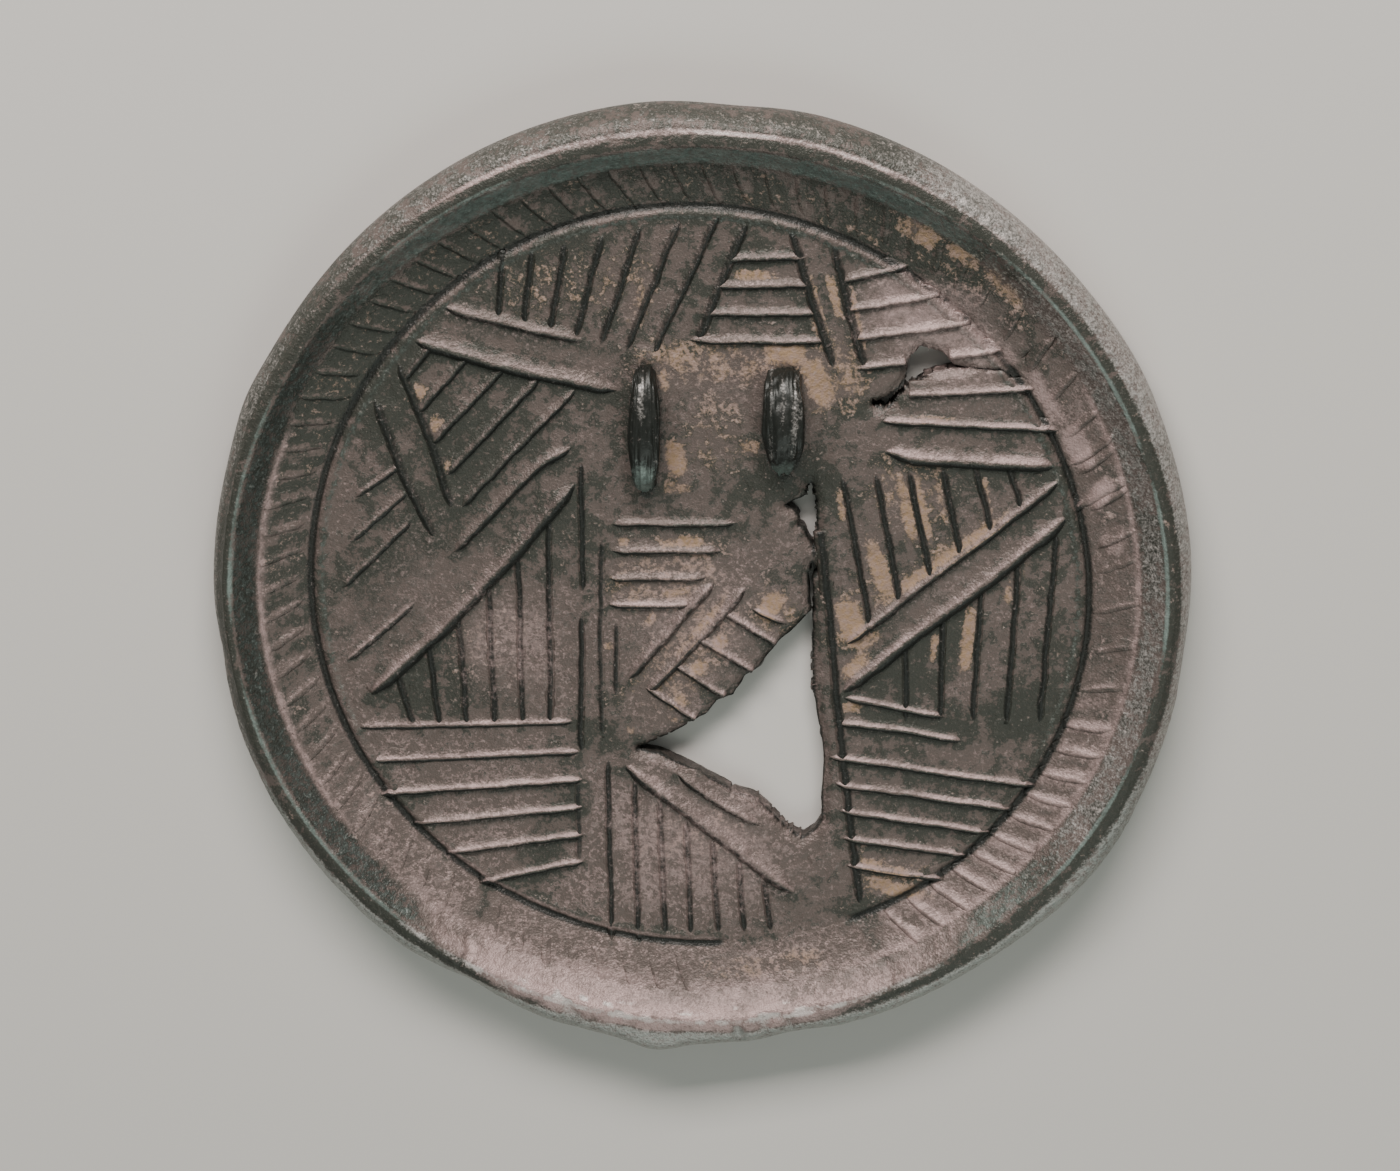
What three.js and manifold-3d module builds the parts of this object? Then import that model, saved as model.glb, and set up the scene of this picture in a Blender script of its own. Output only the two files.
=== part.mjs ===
// An ancient bronze mirror, seen from its decorated back: a round plate with a raised rim, two cord
// loops and a hatched pattern of raised lines, all one casting. Millimetres, +Z up.
// It lies on its flat reflecting face. The origin is on that face, under the middle of the disc,
// and the loops lie towards +Y.

import * as THREE from "three";
import { mergeVertices } from "three/addons/utils/BufferGeometryUtils.js";
import Module from "manifold-3d";

const wasm = await Module();
wasm.setup();

// ---- Driving dimensions ----

const EDGE_RADIUS = 57.2; // widest part of the rim's outer face
const CREST_RADIUS = 53.7; // inner edge of the rim's top
const RING_RADIUS = 45.15; // bottom of the groove that closes the patterned field
const PLATE_TOP = 3.0; // plate thickness
const RIM_TOP = 7.2; // height of the rim
const AROUND = 96; // facets round the disc

const RING_RISE = 0.38; // low lip just inside the groove
const RING_DROP = 0.3; // depth of the groove
const RIDGE_SUNK = 0.25; // how far a raised line reaches into the plate

const HATCH = { width: 1.25, height: 0.5 }; // hatching lines
const BAR = { width: 1.6, height: 0.6 }; // lines that part the fields
const HEAVY = { width: 2.3, height: 0.75 }; // the boldest lines
const FAINT = { width: 1.2, height: 0.3 }; // worn lines

// Waviness of the hand-made circles: [waves round the disc, size, phase in degrees].
const EDGE_WAVES = [
  [1, 0.29, 29],
  [2, 0.33, -168],
  [3, 0.31, 71],
];
const CREST_WAVES = [
  [2, 0.36, 0],
  [3, 0.19, 90],
];
const RING_WAVES = [
  [2, 0.35, 90],
  [3, 0.29, 75],
];

// Local dents and lumps of the outer edge, in degrees and millimetres.
const EDGE_MARKS = [
  { at: 28, spread: 8, out: 0.3 },
  { at: 86, spread: 6, out: -0.5 },
  { at: 157, spread: 5, out: 0.4 },
  { at: 189, spread: 4, out: -0.4 },
  { at: 241, spread: 6, out: -0.9 },
  { at: 265, spread: 3.5, out: 1.2 },
  { at: 282, spread: 4, out: -0.5 },
  { at: 324, spread: 10, out: 0.7 },
  { at: 353, spread: 8, out: -0.45 },
];

// The ring's line is lost here, where the casting ran smooth.
const RING_GAP = { from: 275, to: 292, fade: 2.5 };

// Rim and plate in section: how far a corner lies from its own circle, and its height.
const SECTION = [
  { circle: 0, out: 0, z: 0 },
  { circle: EDGE_RADIUS, out: -2.0, z: 0 },
  { circle: EDGE_RADIUS, out: -0.7, z: 0.5 },
  { circle: EDGE_RADIUS, out: -0.1, z: 1.7 },
  { circle: EDGE_RADIUS, out: 0, z: 3.6 },
  { circle: EDGE_RADIUS, out: -0.4, z: 5.3 },
  { circle: EDGE_RADIUS, out: -1.3, z: 6.6 },
  { circle: CREST_RADIUS, out: 0.8, z: RIM_TOP - 0.05 },
  { circle: CREST_RADIUS, out: 0, z: RIM_TOP },
  { circle: CREST_RADIUS, out: -0.6, z: RIM_TOP - 0.45 },
  { circle: CREST_RADIUS, out: -1.8, z: 5.55 },
  { circle: CREST_RADIUS, out: -2.8, z: 4.75 },
  { circle: RING_RADIUS, out: 3.8, z: 4.0 },
  { circle: RING_RADIUS, out: 0.75, z: PLATE_TOP + 0.05 },
  { circle: RING_RADIUS, out: 0.05, z: PLATE_TOP, ring: -RING_DROP },
  { circle: RING_RADIUS, out: -0.45, z: PLATE_TOP, ring: RING_RISE - 0.05 },
  { circle: RING_RADIUS, out: -0.95, z: PLATE_TOP, ring: RING_RISE },
  { circle: RING_RADIUS, out: -1.8, z: PLATE_TOP },
  { circle: 0, out: 0, z: PLATE_TOP },
];

// Hatched fields. Each is a row of raised lines from one rail to the other, and a rail is given by
// the feet of its first and its last line. Where "fanned" is over 1, the feet on the first rail
// stand further apart towards its end.
const FIELDS = [
  {
    name: "upper fan", lines: 7, fanned: 1.13,
    from: [[-22.3, 38.6], [1.9, 43.6]], to: [[-22.8, 33.2], [-4.8, 29]],
  },
  {
    name: "top trapezoid", lines: 4,
    from: [[4.2, 39.4], [0.4, 29.7]], to: [[11, 39.7], [13.2, 29.8]],
  },
  {
    name: "upper right", lines: 4,
    from: [[17.5, 37.2], [19.6, 26.8]], to: [[22.4, 38.4], [33.2, 28.8]],
  },
  {
    name: "under the crack", lines: 2,
    from: [[23, 23.4], [22.4, 20.3]], to: [[37, 24.3], [39.9, 19.6]],
  },
  {
    name: "right fan", lines: 6,
    from: [[16.9, 12.5], [36, 14.4]], to: [[20, -4.2], [37.3, 10.4]],
  },
  {
    name: "right fence", lines: 5,
    from: [[24.2, -7.4], [41.3, 5.8]], to: [[24.4, -15], [40, -15]],
  },
  {
    name: "lower right", lines: 5,
    from: [[17, -21.1], [19, -34.8]], to: [[38.2, -24], [27.6, -36]],
  },
  {
    name: "bottom fence", lines: 7,
    from: [[-10.6, -23], [8, -37.6]], to: [[-10.3, -43.2], [8.6, -42]],
  },
  {
    name: "lower left", lines: 4,
    from: [[-36.2, -26.3], [-24.6, -37.2]], to: [[-15, -24.4], [-15, -34.9]],
  },
  {
    name: "left fence", lines: 6,
    from: [[-17.4, 8], [-35, -12.5]], to: [[-17.4, -16], [-33.8, -16.5]],
  },
  {
    name: "left slant", lines: 5,
    from: [[-33.4, 25.2], [-26.5, 10.5]], to: [[-31, 28.2], [-15, 22.8]],
  },
  {
    name: "middle steps", lines: 4,
    from: [[-8.5, 7.6], [-9, -2.4]], to: [[3, 7.8], [-2, -2.3]],
  },
  {
    name: "middle comb", lines: 4,
    from: [[3.8, -3.6], [-5, -13.3]], to: [[8.6, -6.6], [-0.2, -16.4]],
  },
  {
    name: "worn left", lines: 3, line: FAINT,
    from: [[-38.6, 11.2], [-40.5, 0.3]], to: [[-35, 14], [-34.2, 6.8]],
  },
  {
    name: "worn steps", lines: 2, line: FAINT,
    from: [[-38.8, -18], [-37.4, -22.2]], to: [[-16, -17], [-15.2, -20.8]],
  },
];

// Single lines, most of them the borders of the fields.
const LINES = [
  { line: BAR, points: [[-29.3, 33.4], [-24.5, 32.1], [-19.5, 30.9], [-13, 29.6]] },
  { line: HEAVY, points: [[-32.6, 29.4], [-28, 28], [-20, 25.9], [-9.2, 23.7]] },
  { line: BAR, points: [[-37.2, 22.5], [-34.3, 13.5], [-30.4, 5.4]] },
  { line: BAR, points: [[-34.4, 26.8], [-31.4, 19], [-28.4, 9]] },
  { line: BAR, points: [[-28.5, 3.8], [-21.5, 11.3], [-18.5, 14.6], [-14.5, 16.9]] },
  { line: HEAVY, points: [[-38.5, -13.8], [-30, -5.7], [-22, 3.1], [-14.2, 12.5]] },
  { line: FAINT, points: [[-41.3, -9.8], [-33, -2.3]] },
  { line: BAR, points: [[5.6, 44], [3, 37.8], [-0.3, 29.2]] },
  { line: BAR, points: [[10.4, 43.3], [13, 34.5], [15.6, 26.5]] },
  { line: BAR, points: [[15.2, 41.8], [17.3, 33], [19.2, 26.5]] },
  { line: HEAVY, points: [[21.3, 16.8], [26, 15.8], [41.4, 15.2]] },
  { line: BAR, points: [[17.2, -6.9], [27, 1.4], [35.5, 8.3], [41.6, 13.7]] },
  { line: HEAVY, points: [[16.8, -12.8], [24, -6.7], [34, 1.5], [42.6, 9.2]] },
  { line: BAR, points: [[13.9, 9], [15, 0], [16.2, -12.6], [17.4, -24], [19.3, -39.8]] },
  { line: HATCH, points: [[17, -13.4], [25, -15], [29, -15.7]] },
  { line: HATCH, points: [[16.1, -16.6], [24, -17.5], [31, -18.7]] },
  { line: HEAVY, points: [[-8.7, -22.3], [0, -29], [11.5, -38.4]] },
  { line: BAR, points: [[-2.6, -23.2], [1, -26], [7.2, -29.7]] },
  { line: BAR, points: [[1.9, 0.7], [-1, -2.6], [-8.2, -11.6]] },
  { line: BAR, points: [[5.6, 0.2], [3.4, -2.6], [-6, -13.3]] },
  { line: HATCH, points: [[6.3, -2.5], [10.3, -4.5]] },
  { line: HATCH, points: [[-13.6, 15.2], [-13.3, -1]] },
  { line: HATCH, points: [[-13.6, -3.4], [-13.9, -21]] },
  { line: FAINT, points: [[-14.2, -24], [-14, -35]] },
];

// Slanted lines round the border: angles in degrees, with the outer end turned by BORDER_SLANT.
const BORDER_SLANT = 4;
const BORDER_HATCH = [
  { from: 8, to: 48, lines: 8, line: HATCH },
  { from: 53, to: 150, lines: 21, line: HATCH },
  { from: 156, to: 232, lines: 15, line: FAINT },
  { from: 244, to: 268, lines: 5, line: FAINT },
  { from: 300, to: 341, lines: 12, line: HATCH },
  { from: 346, to: 364, lines: 4, line: FAINT },
];
const BORDER_INNER = 46.2; // inner ends of those lines
const BORDER_OUTER = 50.7;

// Breaks through the plate, as corners of their ragged outlines.
const BREAKS = {
  great: [
    [13.3, -2.7], [13.3, -8], [13.5, -13], [14.8, -21], [14.5, -26], [14.6, -29], [13.8, -30.4],
    [12.3, -31.6], [10.1, -29.8], [8.2, -27.7], [6.5, -26.3], [4.8, -25.9], [2, -24.4], [-1, -22.7],
    [-4, -21.3], [-7.4, -20.5], [-4, -18.8], [-1, -17.1], [1, -15.8], [2.1, -14.2], [4.1, -13.4],
    [5.4, -11.1], [7, -10.1], [9.4, -6.6], [11.4, -4.9],
  ],
  seam: [[13.15, -3.2], [13.45, -3.2], [13.3, 0.8], [13.9, 2], [13.2, 3.2], [12.75, 1.4]],
  byLoop: [
    [13, 12.8], [13.5, 11], [13.7, 9.2], [13.75, 6.6], [13.2, 5.2], [12.7, 5.9], [12.3, 7.2],
    [11.6, 7.6], [11.9, 8.6], [11, 9.4], [10, 10.1], [12.1, 11],
  ],
  right: [
    [25.3, 29.3], [27.8, 28.6], [29.3, 27], [34.4, 26.8], [34.3, 26.4], [29, 26.6], [27, 26.2],
    [25.5, 25.2], [23.9, 24.3], [22.6, 22.9], [21.7, 21.8], [20.8, 21.8], [19.8, 22.4], [21.5, 23],
    [22.6, 24], [23.8, 25.3], [24, 27.5],
  ],
};

// Cord loops: half-oval bridges with the cord's way through along X.
const LOOPS = [
  { x: -6, y: 19.7, wide: 3.8, long: 15.2, high: 4.4 },
  { x: 9.8, y: 20.4, wide: 4.9, long: 12.7, high: 4.7 },
];
const STRAP = 1.9; // thickness of a loop's strap over the cord
const LOOP_FOOT = 2.6; // length of each foot on the plate

const DARK_BRONZE = new THREE.MeshStandardMaterial({ color: 0x4c463f, roughness: 0.55, metalness: 0.6 });

// ---- Helpers ----

const radians = THREE.MathUtils.degToRad;
const degrees = THREE.MathUtils.radToDeg;

// A three.js geometry as a manifold-3d solid, without the triangles that collapse at a pole.
function solidOf(geometry) {
  const bare = geometry.clone();
  bare.deleteAttribute("normal");
  bare.deleteAttribute("uv");
  const merged = mergeVertices(bare, 1e-4);
  const corners = [];
  for (let i = 0; i < merged.index.count; i += 3) {
    const [a, b, c] = [0, 1, 2].map((k) => merged.index.getX(i + k));
    if (a !== b && b !== c && c !== a) corners.push(a, b, c);
  }
  return new wasm.Manifold(
    new wasm.Mesh({
      numProp: 3,
      vertProperties: new Float32Array(merged.attributes.position.array),
      triVerts: new Uint32Array(corners),
    }),
  );
}

// A manifold-3d solid as a three.js geometry with flat faces.
function geometryOf(solid) {
  const mesh = solid.getMesh();
  const geometry = new THREE.BufferGeometry();
  geometry.setAttribute("position", new THREE.BufferAttribute(mesh.vertProperties, 3));
  geometry.setIndex(new THREE.BufferAttribute(mesh.triVerts, 1));
  const flat = geometry.toNonIndexed();
  flat.computeVertexNormals();
  return flat;
}

// Sum of a circle's waves at an angle in radians.
function wave(waves, angle) {
  const parts = waves.map(([count, size, phase]) => size * Math.cos(count * angle + radians(phase)));
  return parts.reduce((sum, part) => sum + part, 0);
}

// 1 inside a stretch of the circle, 0 outside it, with soft ends.
function within(stretch, turned) {
  const turn = THREE.MathUtils.euclideanModulo(turned, 360);
  const rise = THREE.MathUtils.smoothstep(turn, stretch.from - stretch.fade, stretch.from);
  const fall = THREE.MathUtils.smoothstep(turn, stretch.to, stretch.to + stretch.fade);
  return rise * (1 - fall);
}

// How far the outer edge leaves its circle at an angle, from dents and lumps.
function edgeMarks(turned) {
  return EDGE_MARKS.reduce((sum, mark) => {
    const away = THREE.MathUtils.euclideanModulo(turned - mark.at + 180, 360) - 180;
    return sum + mark.out * Math.exp(-((away / mark.spread) ** 2));
  }, 0);
}

// True radius of one of the three circles at an angle in radians.
function circleRadius(circle, angle) {
  if (circle === RING_RADIUS) return circle + wave(RING_WAVES, angle);
  if (circle === CREST_RADIUS) return circle + wave(CREST_WAVES, angle);
  if (circle === EDGE_RADIUS) return circle + wave(EDGE_WAVES, angle) + edgeMarks(degrees(angle));
  return circle;
}

// Height of the border's slope at a distance outside the ring.
function borderHeight(out) {
  const corners = SECTION.filter((corner) => corner.circle === RING_RADIUS && corner.out > 0.5);
  const [outer, inner] = corners;
  const share = (out - inner.out) / (outer.out - inner.out);
  return THREE.MathUtils.lerp(inner.z, outer.z, share);
}

function lerp2([ax, ay], [bx, by], t) {
  return [THREE.MathUtils.lerp(ax, bx, t), THREE.MathUtils.lerp(ay, by, t)];
}

// ---- Plate and rim ----

// The section turned about Z, with each corner then moved to its own wavy circle.
function disc() {
  const profile = SECTION.map((corner) => new THREE.Vector2(corner.circle + corner.out, corner.z));
  const geometry = new THREE.LatheGeometry(profile, AROUND);
  geometry.rotateX(Math.PI / 2);
  const place = geometry.attributes.position;
  for (let i = 0; i < place.count; i++) {
    const corner = SECTION[i % SECTION.length];
    if (corner.circle === 0) {
      place.setXYZ(i, 0, 0, corner.z);
      continue;
    }
    const step = Math.floor(i / SECTION.length) % AROUND;
    const angle = (2 * Math.PI * step) / AROUND;
    const radius = circleRadius(corner.circle, angle) + corner.out;
    const lost = within(RING_GAP, degrees(angle));
    const z = corner.z + (corner.ring ?? 0) * (1 - lost);
    place.setXYZ(i, radius * Math.cos(angle), radius * Math.sin(angle), z);
  }
  return solidOf(geometry);
}

// ---- Raised lines ----

// A roof-shaped ridge along a path of [x, y, surface height], with hipped ends.
function ridge(path, { width, height }) {
  const deep = (width / 2) * (1 + RIDGE_SUNK / height);
  const last = path.length - 1;
  const points = path.map(([x, y, z]) => new THREE.Vector3(x, y, z));
  const corners = [];
  points.forEach((point, i) => {
    const before = points[Math.max(i - 1, 0)];
    const after = points[Math.min(i + 1, last)];
    const along = after.clone().sub(before).setZ(0).normalize();
    const side = new THREE.Vector3(-along.y, along.x, 0).multiplyScalar(deep);
    const hip = i === 0 ? width / 2 : i === last ? -width / 2 : 0;
    const base = point.clone().setZ(point.z - RIDGE_SUNK);
    const top = point.clone().setZ(point.z + height).addScaledVector(along, hip);
    corners.push(base.clone().add(side), base.clone().sub(side), top);
  });
  const faces = [0, 1, 2, 3 * last, 3 * last + 2, 3 * last + 1];
  for (let i = 0; i < last; i++) {
    const [left, right, top] = [3 * i, 3 * i + 1, 3 * i + 2];
    faces.push(left, top + 3, left + 3, left, top, top + 3);
    faces.push(right, top + 3, top, right, right + 3, top + 3);
    faces.push(left, right + 3, right, left, left + 3, right + 3);
  }
  const geometry = new THREE.BufferGeometry().setFromPoints(corners);
  geometry.setIndex(faces);
  return solidOf(geometry);
}

function fieldRidges(field) {
  const made = [];
  for (let i = 0; i < field.lines; i++) {
    const share = i / (field.lines - 1);
    const ends = [lerp2(...field.from, share ** (field.fanned ?? 1)), lerp2(...field.to, share)];
    made.push(ridge(ends.map(([x, y]) => [x, y, PLATE_TOP]), field.line ?? HATCH));
  }
  return made;
}

function borderRidges(sector) {
  const made = [];
  for (let i = 0; i < sector.lines; i++) {
    const middle = THREE.MathUtils.lerp(sector.from, sector.to, i / (sector.lines - 1));
    const ends = [
      [BORDER_INNER, middle - BORDER_SLANT / 2],
      [BORDER_OUTER, middle + BORDER_SLANT / 2],
    ];
    const path = ends.map(([radius, turned]) => {
      const angle = radians(turned);
      const out = radius - circleRadius(RING_RADIUS, angle);
      return [radius * Math.cos(angle), radius * Math.sin(angle), borderHeight(out)];
    });
    made.push(ridge(path, sector.line));
  }
  return made;
}

function pattern() {
  return [
    ...FIELDS.flatMap(fieldRidges),
    ...LINES.map(({ line, points }) => ridge(points.map(([x, y]) => [x, y, PLATE_TOP]), line)),
    ...BORDER_HATCH.flatMap(borderRidges),
  ];
}

// ---- Cord loops ----

// A half-oval bridge standing on the plate, pierced along X under its strap.
function loop({ x, y, wide, long, high }) {
  const body = new THREE.SphereGeometry(1, 20, 14);
  body.scale(wide / 2, long / 2, high);
  const way = new THREE.CylinderGeometry(1, 1, wide + 2, 20);
  way.rotateZ(Math.PI / 2);
  way.scale(1, long / 2 - LOOP_FOOT, high - STRAP);
  const bridge = solidOf(body).subtract(solidOf(way));
  return bridge.translate([x, y, PLATE_TOP]);
}

// A sphere's lower half and a cylinder's lower half would reach through the plate, so a loop keeps
// only what stands above a level just under the plate's face.
function standing(solid) {
  const box = new THREE.BoxGeometry(40, 40, 20).translate(0, 20, PLATE_TOP - RIDGE_SUNK + 10);
  return solid.intersect(solidOf(box));
}

// ---- Breaks ----

function breakThrough(outline) {
  const shape = new THREE.Shape(outline.map(([x, y]) => new THREE.Vector2(x, y)));
  const cut = new THREE.ExtrudeGeometry(shape, { depth: PLATE_TOP + 3, bevelEnabled: false });
  cut.translate(0, 0, -1);
  return solidOf(cut);
}

// ---- Mirror ----

function mirror() {
  const loops = LOOPS.map((each) => standing(loop(each)));
  const whole = wasm.Manifold.union([disc(), ...pattern(), ...loops]);
  const outlines = Object.values(BREAKS);
  return outlines.reduce((left, outline) => left.subtract(breakThrough(outline)), whole);
}

const part = new THREE.Group();
const mesh = new THREE.Mesh(geometryOf(mirror()), DARK_BRONZE);
mesh.name = "mirror";
part.add(mesh);

export default part;
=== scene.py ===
"""The looks of an ancient bronze mirror that lies on its reflecting face, decorated back up.

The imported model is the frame. Three pieces stand for its one casting: the plate with its raised
rim, the raised lines of the pattern, and the two cord loops. Shapes are worked out in millimetres
and degrees, in the frame's own axes, and become metres when a mesh is made.
"""

import bmesh
import bpy
import numpy as np
from bpy.props import FloatProperty, FloatVectorProperty, IntProperty, PointerProperty
from mathutils import Matrix, Vector


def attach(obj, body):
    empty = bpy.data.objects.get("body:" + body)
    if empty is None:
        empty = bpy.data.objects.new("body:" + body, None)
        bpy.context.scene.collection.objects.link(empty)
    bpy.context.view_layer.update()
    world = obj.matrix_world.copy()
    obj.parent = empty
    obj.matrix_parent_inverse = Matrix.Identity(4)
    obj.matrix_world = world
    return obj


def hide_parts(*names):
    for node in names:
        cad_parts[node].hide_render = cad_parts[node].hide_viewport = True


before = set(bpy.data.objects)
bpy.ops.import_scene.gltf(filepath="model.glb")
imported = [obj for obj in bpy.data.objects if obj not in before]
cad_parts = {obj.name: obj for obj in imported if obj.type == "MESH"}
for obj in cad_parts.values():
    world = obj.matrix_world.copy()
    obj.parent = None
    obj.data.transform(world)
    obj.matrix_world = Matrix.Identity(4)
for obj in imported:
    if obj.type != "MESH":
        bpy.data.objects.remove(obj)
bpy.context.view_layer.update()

bl_info = {
    "name": "Ancient bronze mirror",
    "version": (1, 0, 0),
    "blender": (4, 5, 0),
    "location": "3D View > Sidebar > Bronze mirror",
    "description": "Builds the patinated plate, its raised lines and its cord loops",
    "category": "Object",
}

NODE = "mirror"
BODY = "root"
MM = 0.001

# ---- Sizes and places on the mirror, in millimetres and degrees ----

# A raised line's width and height.
HATCH = (1.25, 0.5)
BAR = (1.6, 0.6)
HEAVY = (2.3, 0.75)
FAINT = (1.2, 0.3)

# Waviness of the hand-made circles: (waves round the disc, size, phase).
EDGE_WAVES = [(1, 0.29, 29), (2, 0.33, -168), (3, 0.31, 71)]
CREST_WAVES = [(2, 0.36, 0), (3, 0.19, 90)]
RING_WAVES = [(2, 0.35, 90), (3, 0.29, 75)]

# Dents and lumps of the outer edge: (place, spread, size outwards).
EDGE_MARKS = [
    (28, 8, 0.3),
    (86, 6, -0.5),
    (157, 5, 0.4),
    (189, 4, -0.4),
    (241, 6, -0.9),
    (265, 3.5, 1.2),
    (282, 4, -0.5),
    (324, 10, 0.7),
    (353, 8, -0.45),
]

# Where the ring's line is lost, and how softly: (from, to, fade).
RING_GAP = (275, 292, 2.5)

GROOVE_FLOOR = 0.05  # how far outside the ring's circle the field ends and the rim begins
WALL_WIDTH = 2.8  # from the foot of the rim's inner wall out to the crest circle
GROOVE_BRIM = 0.75  # from the ring's circle out to the groove's brim
SHOULDER = 3.8  # from the ring out to the bend in the border's slope
SHOULDER_RISE = 1.0  # how far that bend lies above the field
FOOT_RISE = 1.75  # how far the wall's foot lies above the field

# Hatched fields: (lines, rail of first feet, rail of last feet, line, how far the feet fan out).
FIELDS = {
    "upper fan": (7, (-22.3, 38.6, 1.9, 43.6), (-22.8, 33.2, -4.8, 29), HATCH, 1.13),
    "top trapezoid": (4, (4.2, 39.4, 0.4, 29.7), (11, 39.7, 13.2, 29.8), HATCH, 1),
    "upper right": (4, (17.5, 37.2, 19.6, 26.8), (22.4, 38.4, 33.2, 28.8), HATCH, 1),
    "under the crack": (2, (23, 23.4, 22.4, 20.3), (37, 24.3, 39.9, 19.6), HATCH, 1),
    "right fan": (6, (16.9, 12.5, 36, 14.4), (20, -4.2, 37.3, 10.4), HATCH, 1),
    "right fence": (5, (24.2, -7.4, 41.3, 5.8), (24.4, -15, 40, -15), HATCH, 1),
    "lower right": (5, (17, -21.1, 19, -34.8), (38.2, -24, 27.6, -36), HATCH, 1),
    "bottom fence": (7, (-10.6, -23, 8, -37.6), (-10.3, -43.2, 8.6, -42), HATCH, 1),
    "lower left": (4, (-36.2, -26.3, -24.6, -37.2), (-15, -24.4, -15, -34.9), HATCH, 1),
    "left fence": (6, (-17.4, 8, -35, -12.5), (-17.4, -16, -33.8, -16.5), HATCH, 1),
    "left slant": (5, (-33.4, 25.2, -26.5, 10.5), (-31, 28.2, -15, 22.8), HATCH, 1),
    "middle steps": (4, (-8.5, 7.6, -9, -2.4), (3, 7.8, -2, -2.3), HATCH, 1),
    "middle comb": (4, (3.8, -3.6, -5, -13.3), (8.6, -6.6, -0.2, -16.4), HATCH, 1),
    "worn left": (3, (-38.6, 11.2, -40.5, 0.3), (-35, 14, -34.2, 6.8), FAINT, 1),
    "worn steps": (2, (-38.8, -18, -37.4, -22.2), (-16, -17, -15.2, -20.8), FAINT, 1),
}

# Single lines, most of them the borders of the fields.
LINES = [
    (BAR, [(-29.3, 33.4), (-24.5, 32.1), (-19.5, 30.9), (-13, 29.6)]),
    (HEAVY, [(-32.6, 29.4), (-28, 28), (-20, 25.9), (-9.2, 23.7)]),
    (BAR, [(-37.2, 22.5), (-34.3, 13.5), (-30.4, 5.4)]),
    (BAR, [(-34.4, 26.8), (-31.4, 19), (-28.4, 9)]),
    (BAR, [(-28.5, 3.8), (-21.5, 11.3), (-18.5, 14.6), (-14.5, 16.9)]),
    (HEAVY, [(-38.5, -13.8), (-30, -5.7), (-22, 3.1), (-14.2, 12.5)]),
    (FAINT, [(-41.3, -9.8), (-33, -2.3)]),
    (BAR, [(5.6, 44), (3, 37.8), (-0.3, 29.2)]),
    (BAR, [(10.4, 43.3), (13, 34.5), (15.6, 26.5)]),
    (BAR, [(15.2, 41.8), (17.3, 33), (19.2, 26.5)]),
    (HEAVY, [(21.3, 16.8), (26, 15.8), (41.4, 15.2)]),
    (BAR, [(17.2, -6.9), (27, 1.4), (35.5, 8.3), (41.6, 13.7)]),
    (HEAVY, [(16.8, -12.8), (24, -6.7), (34, 1.5), (42.6, 9.2)]),
    (BAR, [(13.9, 9), (15, 0), (16.2, -12.6), (17.4, -24), (19.3, -39.8)]),
    (HATCH, [(17, -13.4), (25, -15), (29, -15.7)]),
    (HATCH, [(16.1, -16.6), (24, -17.5), (31, -18.7)]),
    (HEAVY, [(-8.7, -22.3), (0, -29), (11.5, -38.4)]),
    (BAR, [(-2.6, -23.2), (1, -26), (7.2, -29.7)]),
    (BAR, [(1.9, 0.7), (-1, -2.6), (-8.2, -11.6)]),
    (BAR, [(5.6, 0.2), (3.4, -2.6), (-6, -13.3)]),
    (HATCH, [(6.3, -2.5), (10.3, -4.5)]),
    (HATCH, [(-13.6, 15.2), (-13.3, -1)]),
    (HATCH, [(-13.6, -3.4), (-13.9, -21)]),
    (FAINT, [(-14.2, -24), (-14, -35)]),
    (FAINT, [(-11.2, 6), (-11.5, -8), (-11.3, -19)]),
    (FAINT, [(-9.5, -4), (-9.7, -14)]),
]

LINE_BEYOND = 1.5  # how far a field's line runs on into the borders of its field, to its thin tip

# Slanted lines round the border: (from, to, how many, line).
BORDER_HATCH = [
    (8, 48, 8, HATCH),
    (52, 152, 26, HATCH),
    (156, 232, 20, FAINT),
    (240, 268, 8, FAINT),
    (300, 340, 11, HATCH),
    (346, 364, 4, FAINT),
]

# Single dark lines that carry the field's bands on across the border.
BORDER_LINES = [
    (BAR, [(43.4, 9.9), (46.5, 12.4), (49.5, 14.3)]),
    (HATCH, [(42.4, 15.3), (45.4, 17.3), (48.4, 20.6)]),
]
BORDER_PITCH = 4  # most of these lines stand at whole multiples of this angle
BORDER_SLANT = 2.6  # how far the outer end of such a line is turned
BORDER_INNER = 45.9  # radius at which such a line starts
BORDER_OUTER = 51.1  # radius at which it ends

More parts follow.
